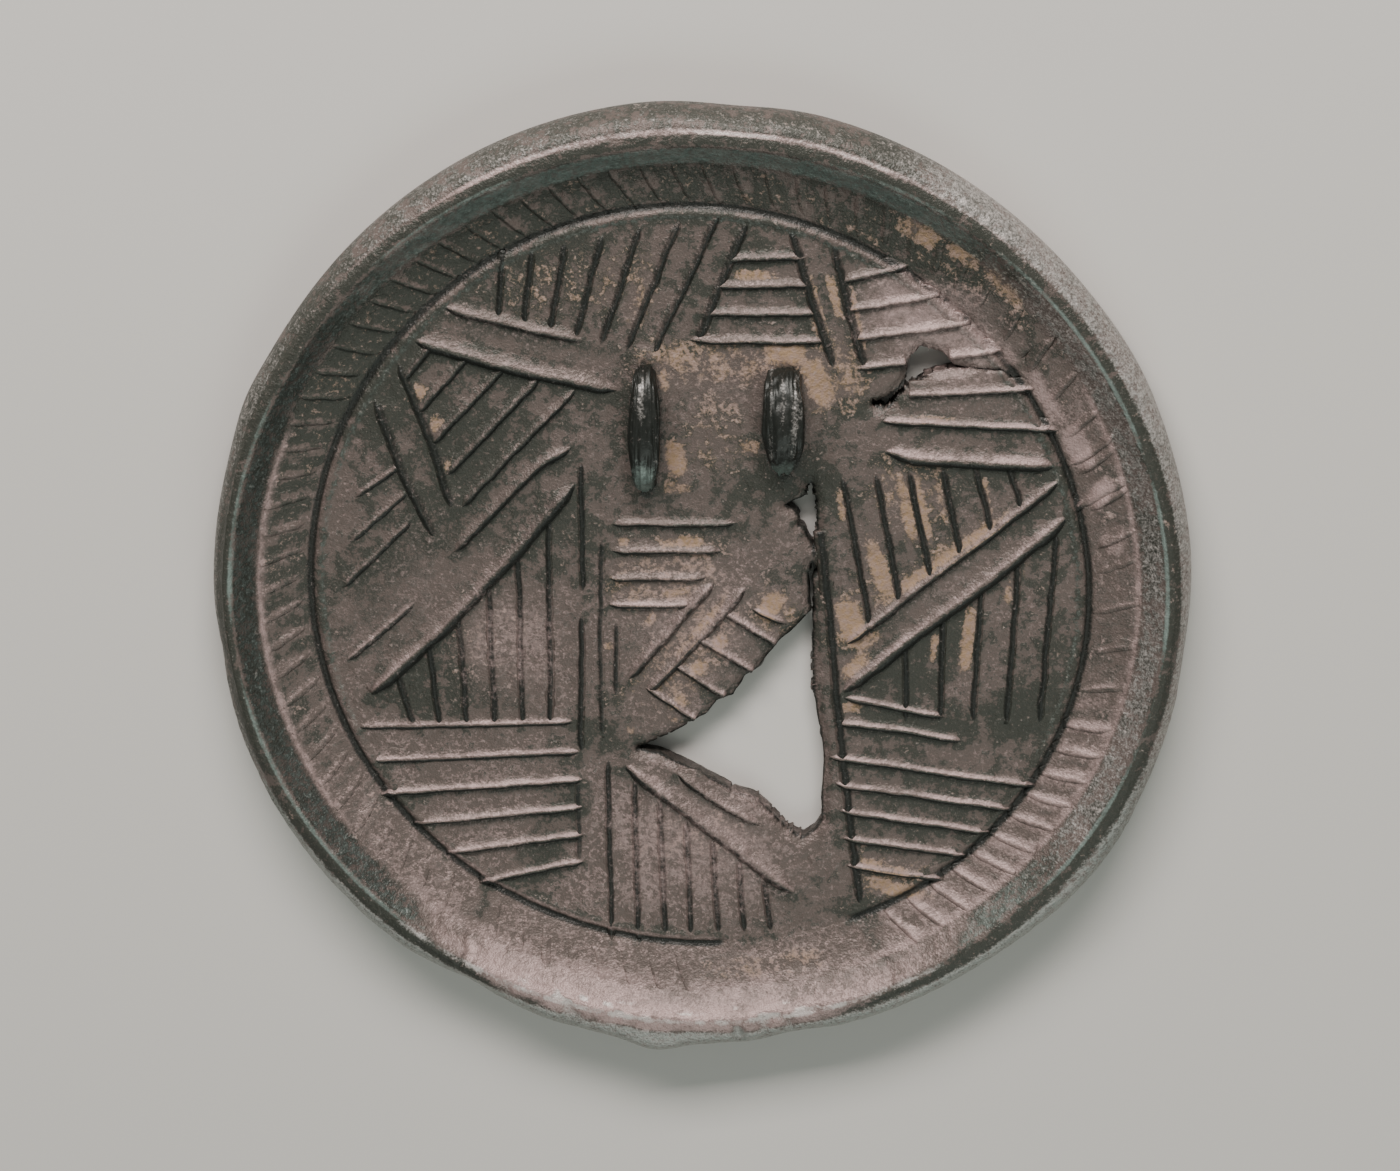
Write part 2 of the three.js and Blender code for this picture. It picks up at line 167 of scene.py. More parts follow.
# Breaks through the plate, as corners of their ragged outlines.
BREAKS = {
    "great": [
        (13.3, -2.7), (13.3, -8), (13.5, -13), (14.8, -21), (14.5, -26), (14.6, -29), (13.8, -30.4),
        (12.3, -31.6), (10.1, -29.8), (8.2, -27.7), (6.5, -26.3), (4.8, -25.9), (2, -24.4),
        (-1, -22.7), (-4, -21.3), (-7.4, -20.5), (-4, -18.8), (-1, -17.1), (1, -15.8), (2.1, -14.2),
        (4.1, -13.4), (5.4, -11.1), (7, -10.1), (9.4, -6.6), (11.4, -4.9),
    ],
    "seam": [(13.1, -3.2), (13.5, -3.2), (13.3, 0.8), (13.9, 2), (13.2, 3.2), (12.75, 1.4)],
    "by the loop": [
        (13, 12.8), (13.5, 11), (13.7, 9.2), (13.75, 6.6), (13.2, 5.2), (12.7, 5.9), (12.3, 7.2),
        (11.6, 7.6), (11.9, 8.6), (11, 9.4), (10, 10.1), (12.1, 11),
    ],
    "right": [
        (25.3, 29.3), (27.8, 28.6), (29.3, 27), (31, 26.8), (29, 26.6), (27, 26.2), (25.5, 25.2),
        (23.9, 24.3), (22.6, 22.9), (21.7, 21.8), (20.8, 21.8), (19.8, 22.4), (21.5, 23),
        (22.6, 24), (23.8, 25.3), (24, 27.5),
    ],
}
BREAK_RAGGED = 0.16  # how far a break's edge wanders from its corners
BREAK_ROUND = 0.55  # how far the plate's face rolls down at a break

# Cracks in the face: (depth, path).
CRACKS = [
    (0.45, [(30.6, 26.8), (34.6, 26.6), (36.9, 25.2)]),
    (0.5, [(36.9, 28.1), (38.7, 29.4), (40.8, 31.0)]),
    (0.4, [(-27.4, -43.6), (-27.0, -45.2), (-28.3, -46.6)]),
    (0.3, [(22.2, -45.8), (23.0, -47.6), (23.6, -49.2)]),
    (0.4, [(13.3, 5.4), (13.5, 3.0)]),
    (0.35, [(13.4, -3.0), (13.3, 0.8)]),
]

# Cord loops: middle, width, length, height over the plate, length of the pale patch at the lower
# end, and the width's share at the upper and the lower end.
LOOPS = [
    dict(x=-6, y=19.3, wide=3.8, long=15.2, high=4.4, pale=4.6, ends=(0.66, 0.6)),
    dict(x=9.8, y=20.4, wide=4.9, long=12.7, high=4.7, pale=2.8, ends=(0.84, 0.45)),
]
STRAP = 1.9  # thickness of a loop over the cord
LOOP_FOOT = 2.6  # length of a foot on the plate
LOOP_ARCH = (-10, 190)  # the arch's first and last angle, both a little under the plate's face
LOOP_ROWS, LOOP_SIDES = 130, 96  # vertices along a loop and round it
SQUARISH = 0.74  # power that makes a loop's oval section squarish

LINE_LIFT = 0.16  # how far a line lifts the plate at its foot, as a share of the line's height
LOOP_MOUND = 0.5  # height of the mound round a loop
PIT_DEPTH = 0.14
CHIP_DEPTH = 0.55  # how far a chip lowers the worn crest
CHIP_INWARD = 0.35  # how far it eats into the rim's outer side

# Lamps: (name, setting that holds its power, place and size in metres, colour).
LAMPS = [
    ("key lamp", "key_power", (-0.08, 0.66, 0.44), (0.7, 0.22), (1.0, 0.94, 0.92)),
    ("fill lamp", "fill_power", (0.2, -0.6, 0.6), (0.7, 0.4), (0.92, 1.0, 0.95)),
]
CAMERA_SHIFT = (0.0005, -0.0052)  # across and up the picture, in shares of the picture's width
SENSOR_WIDTH = 36
FLOOR_SIDE = 3000
WORLD_COLOUR = (0.8, 0.86, 0.84, 1)
WORLD_STRENGTH = 0.24


def wrapped(angle):
    """An angle brought between -180 and 180 degrees."""
    return np.mod(angle + 180, 360) - 180


def smooth(low, high, value):
    """0 below low, 1 above high, and a soft S-shaped step between."""
    t = np.clip((value - low) / (high - low), 0, 1)
    return t * t * (3 - 2 * t)


def band(value, middle, spread):
    """A bell curve: e to the minus square of (value minus middle, over spread)."""
    return np.exp(-(((value - middle) / spread) ** 2))


def sector(angle, middle, half, fade):
    """1 within half of the middle direction, 0 beyond half plus fade, with soft steps between."""
    return 1 - smooth(half, half + fade, np.abs(wrapped(angle - middle)))


# ---- Noise ----


def lattice(i, j, seed):
    """A repeatable number from 0 to 1 for whole numbers i and j: the fraction of a large sine."""
    return np.mod(np.sin(i * 127.1 + j * 311.7 + seed * 74.7) * 43758.5453, 1.0)


def noise(x, y, cell, seed):
    """Between -1 and 1: lattice numbers one cell apart, blended with soft steps both ways."""
    u, v = x / cell, y / cell
    i, j = np.floor(u), np.floor(v)
    s, t = smooth(0, 1, u - i), smooth(0, 1, v - j)
    low = lattice(i, j, seed) * (1 - s) + lattice(i + 1, j, seed) * s
    high = lattice(i, j + 1, seed) * (1 - s) + lattice(i + 1, j + 1, seed) * s
    return 2 * (low * (1 - t) + high * t) - 1


def rough(x, y, cell, seed, layers=3):
    """Noise with finer layers on it, each half the size and just over half the strength."""
    total = np.zeros(np.broadcast(x, y).shape)
    for k in range(layers):
        turned_x = 0.8 * x - 0.6 * y
        turned_y = 0.6 * x + 0.8 * y
        x, y = turned_x, turned_y
        total = total + 0.55**k * noise(x, y, cell / 2**k, seed + 7 * k)
    return total / sum(0.55**k for k in range(layers))


# ---- Circles and section ----


def wave(waves, angle):
    """Sum over the waves of size times the cosine of (count times angle, plus phase)."""
    return sum(size * np.cos(np.radians(count * angle + phase)) for count, size, phase in waves)


def edge_circle(angle, sizes):
    """Radius of the outer edge: its circle, its waves, and a bell-shaped bump for each mark."""
    marks = sum(out * band(wrapped(angle - at), 0, spread) for at, spread, out in EDGE_MARKS)
    return sizes.edge_radius / MM + wave(EDGE_WAVES, angle) + marks


def crest_circle(angle, sizes):
    """Radius of the inner edge of the rim's top."""
    return sizes.crest_radius / MM + wave(CREST_WAVES, angle)


def ring_circle(angle, sizes):
    """Radius of the groove that closes the patterned field."""
    return sizes.ring_radius / MM + wave(RING_WAVES, angle)


def ring_kept(angle):
    """1 where the ring's line shows, 0 in the stretch where it is lost."""
    start, end, fade = RING_GAP
    turn = np.mod(angle, 360)
    return 1 - smooth(start - fade, start, turn) * (1 - smooth(end, end + fade, turn))


def rim_section(sizes, rows):
    """The rim's section as rows of (share of ring, crest and edge circle, distance out, height).

    The corners are joined by straight lines, sampled finely by length, softened by a running mean,
    and sampled again in steps that are closer near the groove and, by bell curves of the length,
    near the crest. The first row is the bottom of the groove."""
    top, rim = sizes.plate_top / MM, sizes.rim_top / MM
    ring, crest, edge = (1, 0, 0), (0, 1, 0), (0, 0, 1)
    corners = [
        (*ring, GROOVE_FLOOR, top - 0.3),
        (*ring, GROOVE_BRIM, top + 0.05),
        (*ring, SHOULDER, top + SHOULDER_RISE),
        (*crest, -WALL_WIDTH, top + FOOT_RISE),
        (*crest, -1.8, top + 2.55),
        (*crest, -0.6, rim - 0.45),
        (*crest, 0.0, rim),
        (*crest, 0.9, rim - 0.02),
        (*edge, -1.3, rim - 0.55),
        (*edge, -0.4, rim - 1.9),
        (*edge, 0.0, 3.6),
        (*edge, -0.1, 1.7),
        (*edge, -0.7, 0.5),
        (*edge, -2.0, 0.0),
    ]
    corners = np.array(corners, float)
    circles = np.array([sizes.ring_radius, sizes.crest_radius, sizes.edge_radius]) / MM
    flat = np.c_[corners[:, :3] @ circles + corners[:, 3], corners[:, 4]]
    length = np.r_[0, np.cumsum(np.linalg.norm(np.diff(flat, axis=0), axis=1))]
    samples, span = 1200, 13
    order = np.arange(samples)
    fine = np.linspace(0, length[-1], samples)
    columns = np.array([np.interp(fine, length, column) for column in corners.T])
    padded = np.pad(columns, ((0, 0), (span, span)), mode="edge")
    window = np.ones(2 * span + 1) / (2 * span + 1)
    soft = np.array([np.convolve(column, window, mode="valid") for column in padded])
    ends = np.minimum(order, order[::-1]) < 2 * span
    soft[:, ends] = columns[:, ends]
    closer = 1 + 1.6 * band(fine, 0, 1.4) + 0.9 * band(fine, length[6], 2.4)
    count = np.r_[0, np.cumsum(closer[1:])]
    picks = np.interp(np.linspace(0, count[-1], rows + 1), count, order)
    return np.array([np.interp(picks, order, column) for column in soft]).T


# ---- Paths and distances ----


def nearest(path, x, y):
    """Distance to a path and the nearest point on it: on each straight piece the foot of the
    perpendicular, held within the piece, and of all pieces the closest."""
    best = np.full(x.shape, np.inf)
    near_x, near_y = np.array(x), np.array(y)
    for (ax, ay), (bx, by) in zip(path[:-1], path[1:]):
        along_x, along_y = bx - ax, by - ay
        square = along_x**2 + along_y**2
        t = np.clip(((x - ax) * along_x + (y - ay) * along_y) / square, 0, 1)
        px, py = ax + t * along_x, ay + t * along_y
        distance = np.hypot(x - px, y - py)
        closer = distance < best
        best = np.where(closer, distance, best)
        near_x = np.where(closer, px, near_x)
        near_y = np.where(closer, py, near_y)
    return best, near_x, near_y


def inside(path, x, y):
    """True inside a closed path: a ray towards +X crosses it an odd number of times."""
    odd = np.zeros(x.shape, bool)
    for (ax, ay), (bx, by) in zip(path[:-1], path[1:]):
        if ay == by:
            continue
        spans = (ay > y) != (by > y)
        odd ^= spans & (x < ax + (y - ay) * (bx - ax) / (by - ay))
    return odd


def sampled(path, step):
    """Points along a path at equal steps of about the given length, both ends kept."""
    path = np.array(path, float)
    length = np.r_[0, np.cumsum(np.hypot(*np.diff(path, axis=0).T))]
    places = np.linspace(0, length[-1], max(int(np.ceil(length[-1] / step)), 2) + 1)
    return np.c_[np.interp(places, length, path[:, 0]), np.interp(places, length, path[:, 1])]


def ragged(outline):
    """A closed outline sampled finely, each point moved by a little noise both ways."""
    points = sampled([*outline, outline[0]], 0.3)
    x, y = points.T
    moved = np.c_[x + BREAK_RAGGED * rough(x, y, 1.1, 3), y + BREAK_RAGGED * rough(x, y, 1.1, 5)]
    moved[-1] = moved[0]
    return moved


def raised_lines():
    """Every raised line inside the ring as (path, width, height). A field's lines join equal steps
    along its two rails; a power of the share fans out their first feet."""
    made = []
    for lines, (ax, ay, bx, by), (cx, cy, dx, dy), (width, height), fanned in FIELDS.values():
        share = np.linspace(0, 1, lines)
        eased = share**fanned
        starts = np.c_[ax + (bx - ax) * eased, ay + (by - ay) * eased]
        ends = np.c_[cx + (dx - cx) * share, cy + (dy - cy) * share]
        for start, end in zip(starts, ends):
            beyond = LINE_BEYOND * (end - start) / np.linalg.norm(end - start)
            made.append((np.array([start - beyond, end + beyond]), width, height))
    made += [(np.array(points, float), width, height) for (width, height), points in LINES]
    return made


def border_lines():
    """Every line of the border as (path, width, height): slanted ones at equal steps of the angle,
    and the dark ones that carry on the field's bands."""
    made = []
    for start, end, lines, (width, height) in BORDER_HATCH:
        middle = np.linspace(start, end, lines)
        for turn in middle:
            inner, outer = np.radians(turn - BORDER_SLANT / 2), np.radians(turn + BORDER_SLANT / 2)
            first = (BORDER_INNER * np.cos(inner), BORDER_INNER * np.sin(inner))
            last = (BORDER_OUTER * np.cos(outer), BORDER_OUTER * np.sin(outer))
            made.append((np.array([first, last]), width, height))
    return made + [(np.array(points), width, height) for (width, height), points in BORDER_LINES]


# ---- The plate's face ----


def casting(x, y, broad, fine):
    """Unevenness of the cast surface: broad and fine noise of the given strengths."""
    return broad * rough(x, y, 7, 11) + fine * rough(x, y, 1.6, 23)


def face_height(x, y, sizes):
    """Height of the plate's face at a place inside the rim's wall.

    The field is flat at the plate's thickness, the border rises outside the ring in two slopes, and
    both carry broad and fine casting roughness, more of it round the loops."""
    radius, angle = np.hypot(x, y), np.degrees(np.arctan2(y, x))
    top = sizes.plate_top / MM
    out = radius - ring_circle(angle, sizes)
    foot = crest_circle(angle, sizes) - WALL_WIDTH - ring_circle(angle, sizes)
    upper = SHOULDER_RISE + (FOOT_RISE - SHOULDER_RISE) * (out - SHOULDER) / (foot - SHOULDER)
    lower = SHOULDER_RISE * (out - GROOVE_BRIM) / (SHOULDER - GROOVE_BRIM)
    slope = np.where(out < SHOULDER, lower, upper)
    near_loops = band(x, 2, 14) * band(y, 16, 13)
    return top + np.maximum(slope, 0) + casting(x, y, 0.13, 0.09 + 0.16 * near_loops)


def line_feet(x, y, lines):
    """How strongly each place is at a raised line's foot: how much the line lifts the plate there,
    a bell curve of the distance over the line's width, and how much painted shadow it gets, the
    same curve weighted towards the side away from the loops and the key lamp."""
    lifted, lee_shadow = np.zeros(x.shape), np.zeros(x.shape)
    for path, width, height in lines:
        low, high = path.min(axis=0) - 4, path.max(axis=0) + 4
        near = (x > low[0]) & (x < high[0]) & (y > low[1]) & (y < high[1])
        distance, _, py = nearest(path, x[near], y[near])
        bell = height * band(distance, 0, 0.85 * width)
        lee = 0.5 - 0.5 * np.clip((y[near] - py) / np.maximum(distance, 0.2), -1, 1)
        lifted[near] = np.maximum(lifted[near], bell)
        # Painted shadow at the line's foot, strongest on its side away from the key lamp.
        lee_shadow[near] = np.maximum(lee_shadow[near], bell * lee**2)
    return lifted, lee_shadow


def loop_distance(x, y, loop):
    """How far outside a loop's oval footprint a place is, as a share of the oval's own size."""
    return np.hypot((x - loop["x"]) / (loop["wide"] / 2), (y - loop["y"]) / (loop["long"] / 2)) - 1


def lip(out, angle):
    """The low lip inside the groove and the groove itself: two bell curves, one up and one down, of
    the distance outside the ring."""
    return (0.24 * band(out, -0.85, 0.42) - 0.32 * band(out, 0.1, 0.3)) * ring_kept(angle)


def field_grid(sizes):
    """A square grid mapped onto the field: each square ring of the grid becomes a circle, and equal
    steps along a side become equal angles, so that no vertex is a pole. The last rings, at the
    groove's lip, lie closer together."""
    rings = sizes.field_rings
    steps = np.arange(-rings, rings + 1)
    a, b = np.meshgrid(steps, steps, indexing="ij")
    ring = np.maximum(np.abs(a), np.abs(b))
    with np.errstate(divide="ignore", invalid="ignore"):
        across = np.where(np.abs(a) >= np.abs(b), np.pi / 4 * b / a, np.pi / 2 - np.pi / 4 * a / b)
    across[ring == 0] = 0
    sign = np.where(np.abs(a) >= np.abs(b), np.sign(a), np.sign(b))
    edge = sizes.ring_radius / MM + GROOVE_FLOOR
    close, close_width = 8, 2.0
    radius = np.interp(ring, [0, rings - close, rings], [0, edge - close_width, edge])
    x, y = sign * radius * np.cos(across), sign * radius * np.sin(across)
    angle = np.degrees(np.arctan2(y, x))
    stretch = 1 + wave(RING_WAVES, angle) / edge * smooth(0, edge, radius)
    return x * stretch, y * stretch


def outer_square(rings):
    """Grid indices of the field's outer ring in order round it, from -45 degrees."""
    size = 2 * rings + 1
    up = np.arange(-rings, rings)
    a = np.r_[np.full(2 * rings, rings), -up, np.full(2 * rings, -rings), up]
    b = np.r_[up, np.full(2 * rings, rings), -up, np.full(2 * rings, -rings)]
    return (a + rings) * size + (b + rings)


def grid_quads(rows, columns):
    """Quads of a grid of vertices numbered row by row."""
    i, j = np.meshgrid(np.arange(rows - 1), np.arange(columns - 1), indexing="ij")
    corner = (i * columns + j).ravel()
    return np.c_[corner, corner + columns, corner + columns + 1, corner + 1]


def ring_quads(rings):
    """Quads between closed rows of vertices, given as a table of their indices."""
    inner, outer = rings[:-1], rings[1:]
    quads = [inner, outer, np.roll(outer, -1, axis=1), np.roll(inner, -1, axis=1)]
    return np.stack([part.ravel() for part in quads], axis=1)


class Tubes:
    """Closed tubes, gathered for one mesh."""

    def __init__(self):
        """Starts with no tube."""
        self.points, self.sides, self.ends, self.values, self.count = [], [], [], [], 0

    def add(self, grid, *values):
        """Adds a tube of rows of vertices, with values at each: quads between the rows, and one
        face over each end."""
        rows = self.count + np.arange(grid[..., 0].size).reshape(grid.shape[:2])
        self.points.append(grid.reshape(-1, 3))
        self.sides.append(ring_quads(rows))
        self.ends.append(np.vstack([rows[0], rows[-1][::-1]]))
        self.values.append([value.ravel() for value in values])
        self.count += rows.size

    def gathered(self):
        """All points, the two tables of faces, and each kind of value for all points."""
        faces = [np.vstack(self.sides), np.vstack(self.ends)]
        return np.vstack(self.points), faces, [np.concatenate(kind) for kind in zip(*self.values)]


def field_surface(sizes):
    """Places and heights of the field's vertices, how near each is to a break's edge, and how far
    each sinks in a crack. Vertices about half a step from an edge or a crack move onto it.

    The height is the face's own, plus the lip, the lines' feet and a bell-shaped mound round each
    loop, less the cracks, the pits where two noises are high, and a roll-down at the breaks."""
    x, y = (part.ravel() for part in field_grid(sizes))
    step = sizes.ring_radius / MM / sizes.field_rings
    near_break = np.full(x.shape, np.inf)
    for outline in BREAKS.values():
        path = ragged(outline)
        low, high = path.min(axis=0) - 3, path.max(axis=0) + 3
        near = np.flatnonzero((x > low[0]) & (x < high[0]) & (y > low[1]) & (y < high[1]))
        distance, px, py = nearest(path, x[near], y[near])
        onto = distance < 0.6 * step
        x[near[onto]], y[near[onto]] = px[onto], py[onto]
        near_break[near] = np.minimum(near_break[near], np.where(onto, 0, distance))
    sunk = np.zeros(x.shape)
    for depth, path in CRACKS:
        fine = sampled(path, 0.5)
        fine += 0.25 * np.c_[noise(*fine.T, 1.3, 41), noise(*fine.T, 1.3, 43)]
        distance, px, py = nearest(fine, x, y)
        onto = (distance < 0.5 * step) & (near_break > 0.3)
        x[onto], y[onto] = px[onto], py[onto]
        sunk[onto] = depth
    angle = np.degrees(np.arctan2(y, x))
    out = np.hypot(x, y) - ring_circle(angle, sizes)
    z = face_height(x, y, sizes) + lip(out, angle) - sunk
    z += LINE_LIFT * line_feet(x, y, raised_lines())[0]
    for loop in LOOPS:
        z += LOOP_MOUND * band(np.maximum(loop_distance(x, y, loop), 0), 0, 0.35)
    pits = smooth(0.35, 0.8, noise(x, y, 1.0, 61)) * smooth(-0.1, 0.5, noise(x, y, 9, 67))
    z -= PIT_DEPTH * pits
    z -= BREAK_ROUND * (1 - smooth(0, 1.1, near_break))
    return x, y, z, near_break, sunk


def rim_surface(sizes, angle):
    """Rows of the rim from the groove over the crest to the underside, for every angle of the
    field's outer ring. Each row's radius mixes the three circles by its shares. Noise roughens the
    slopes, chips the worn crest, and cracks sink it by a bell curve of their distance."""
    share = rim_section(sizes, sizes.rim_rows)[1:, :, None]
    turn = angle[None, :]
    circles = [ring_circle(turn, sizes), crest_circle(turn, sizes), edge_circle(turn, sizes)]
    radius = sum(share[:, k] * circles[k] for k in range(3)) + share[:, 3]
    z = share[:, 4] + np.zeros_like(radius)
    x, y = radius * np.cos(np.radians(turn)), radius * np.sin(np.radians(turn))
    groove = 1 - smooth(0.2, 1.2, radius - circles[0])
    z += 0.3 * groove * (1 - ring_kept(turn))
    arc = 0.9 * turn  # about the millimetres round the rim
    height = share[:, 4]
    z += casting(x, y, 0.1, 0.05) * smooth(0.2, 1.0, height)
    broad = 0.13 * rough(arc, 3 * height + radius, 3.2, 71)
    fine = 0.07 * rough(arc, z * 2, 1.0, 73)
    radius += smooth(3.2, 4.2, height) * (broad + fine)
    worn = sector(turn, 266, 14, 12) * smooth(5.6, 6.9, height)
    chips = smooth(0.1, 0.75, noise(arc, 2 * height + radius, 1.5, 79)) * worn
    outward = smooth(-0.7, 1.2, radius - circles[1])
    z -= CHIP_DEPTH * chips * (0.3 + 0.7 * outward)
    radius -= CHIP_INWARD * chips * outward
    steady = smooth(0.05, 0.6, z)
    x, y = radius * np.cos(np.radians(turn)), radius * np.sin(np.radians(turn))
    for depth, path in CRACKS:
        z -= depth * band(nearest(sampled(path, 0.5), x, y)[0], 0, 0.3) * steady
    return x, y, np.where(height <= 0.001, 0, z), chips


def whole_quads(x, y, rings):
    """Quads of the field, less those whose middle lies inside a break."""
    quads = grid_quads(2 * rings + 1, 2 * rings + 1)
    middle_x, middle_y = x[quads].mean(axis=1), y[quads].mean(axis=1)
    lost = np.zeros(len(quads), bool)
    for outline in BREAKS.values():
        lost |= inside(ragged(outline), middle_x, middle_y)
    return quads[~without_corners(lost.reshape(2 * rings, 2 * rings)).ravel()]


def without_corners(lost):
    """A grid of lost quads, widened in a few passes, so that no two of them touch at a corner
    alone."""
    for _ in range(3):
        one, two, three, four = lost[:-1, :-1], lost[:-1, 1:], lost[1:, :-1], lost[1:, 1:]
        crossed = (one == four) & (two == three) & (one != two)
        wider = lost.copy()
        for rows in (slice(None, -1), slice(1, None)):
            for columns in (slice(None, -1), slice(1, None)):
                wider[rows, columns] |= crossed
        lost = wider
    return lost


def break_edges(quads, field_count):
    """The face's open edges at the breaks: those that only one quad has, both ends in the field.

    Returns the vertices on them, and each edge as two places in that list."""
    edges = np.concatenate([quads[:, [k, (k + 1) % 4]] for k in range(4)])
    total = edges.max() + 1
    forward = edges[:, 0].astype(np.int64) * total + edges[:, 1]
    backward = edges[:, 1].astype(np.int64) * total + edges[:, 0]
    edges = edges[~np.isin(forward, backward)]
    edges = edges[(edges < field_count).all(axis=1)]
    corners, placed = np.unique(edges, return_inverse=True)
    return corners, placed.reshape(edges.shape)


def break_walls(face, corners, edges, first):
    """The broken edges through the plate, from the face's open edges straight down to the
    underside, in rows numbered on from first.

    Between its top and its bottom a wall bulges: noise along it, times the share of the depth,
    times one minus that share."""
    depth = np.linspace(0, 1, 4)[1:, None]
    x, y, z = face[corners].T
    bulge = 1.2 * depth * (1 - depth)
    wall_x = x + bulge * noise(x, y + 9 * depth, 0.9, 91)
    wall_y = y + bulge * noise(x, y + 9 * depth, 0.9, 97)
    wall_z = z * (1 - depth)
    rows = np.vstack([corners, first + np.arange(wall_z.size).reshape(wall_z.shape)])
    left, right = edges.T
    quads = [
        np.c_[upper[right], upper[left], lower[left], lower[right]]
        for upper, lower in zip(rows[:-1], rows[1:])
    ]
    return np.c_[wall_x.ravel(), wall_y.ravel(), wall_z.ravel()], np.vstack(quads)


def mesh_object(name, points, faces, attributes):
    """A mesh in metres from millimetre points, a list of index tables with one face a row, and
    colour attributes given for each vertex."""
    mesh = bpy.data.meshes.new(name)
    mesh.vertices.add(len(points))
    mesh.vertices.foreach_set("co", (points * MM).astype(np.float32).ravel())
    corners = np.concatenate([table.ravel() for table in faces])
    counts = np.concatenate([np.full(len(table), table.shape[1]) for table in faces])
    mesh.loops.add(len(corners))
    mesh.loops.foreach_set("vertex_index", corners.astype(np.int32))
    mesh.polygons.add(len(counts))
    mesh.polygons.foreach_set("loop_start", np.r_[0, np.cumsum(counts)[:-1]].astype(np.int32))
    mesh.polygons.foreach_set("loop_total", counts.astype(np.int32))
    mesh.polygons.foreach_set("use_smooth", np.ones(len(counts), bool))
    mesh.update(calc_edges=True)
    for title, values in attributes.items():
        layer = mesh.color_attributes.new(title, "FLOAT_COLOR", "POINT")
        colours = np.c_[values, np.ones(len(values))]
        layer.data.foreach_set("color", colours.astype(np.float32).ravel())
    mesh.validate()
    piece = bpy.data.objects.new(name, mesh)
    bpy.context.scene.collection.objects.link(piece)
    return piece


def close_underside(piece):
    """Fills the open edges at height zero with triangles that look down.

    Of the triangles between the open edges, those stay whose middle has an odd number of the edges
    to its right, so that the breaks stay open. Slivers that are left open are filled last."""
    shape = bmesh.new()
    shape.from_mesh(piece.data)
    opened = [edge for edge in shape.edges if edge.is_boundary]
    ends = np.array([[corner.co[:2] for corner in edge.verts] for edge in opened])
    (ax, ay), (bx, by) = ends[:, 0].T, ends[:, 1].T
    made = bmesh.ops.triangle_fill(shape, edges=opened, use_beauty=True, normal=(0, 0, -1))
    faces = [part for part in made["geom"] if isinstance(part, bmesh.types.BMFace)]
    x, y = np.array([face.calc_center_median()[:2] for face in faces]).T[:, :, None]
    with np.errstate(divide="ignore", invalid="ignore"):
        crossed = ((ay > y) != (by > y)) & (x < ax + (y - ay) * (bx - ax) / (by - ay))
    kept = crossed.sum(axis=1) % 2 == 1
    spare = [face for face, keep in zip(faces, kept) if not keep]
    bmesh.ops.delete(shape, geom=spare, context="FACES")
    upward = [face for face, keep in zip(faces, kept) if keep and face.normal.z > 0]
    bmesh.ops.reverse_faces(shape, faces=upward)
    slivers = [edge for edge in shape.edges if edge.is_boundary]
    bmesh.ops.holes_fill(shape, edges=slivers, sides=6)
    bmesh.ops.recalc_face_normals(shape, faces=shape.faces)
    shape.to_mesh(piece.data)
    shape.free()


# ---- Finish, by place on the mirror ----

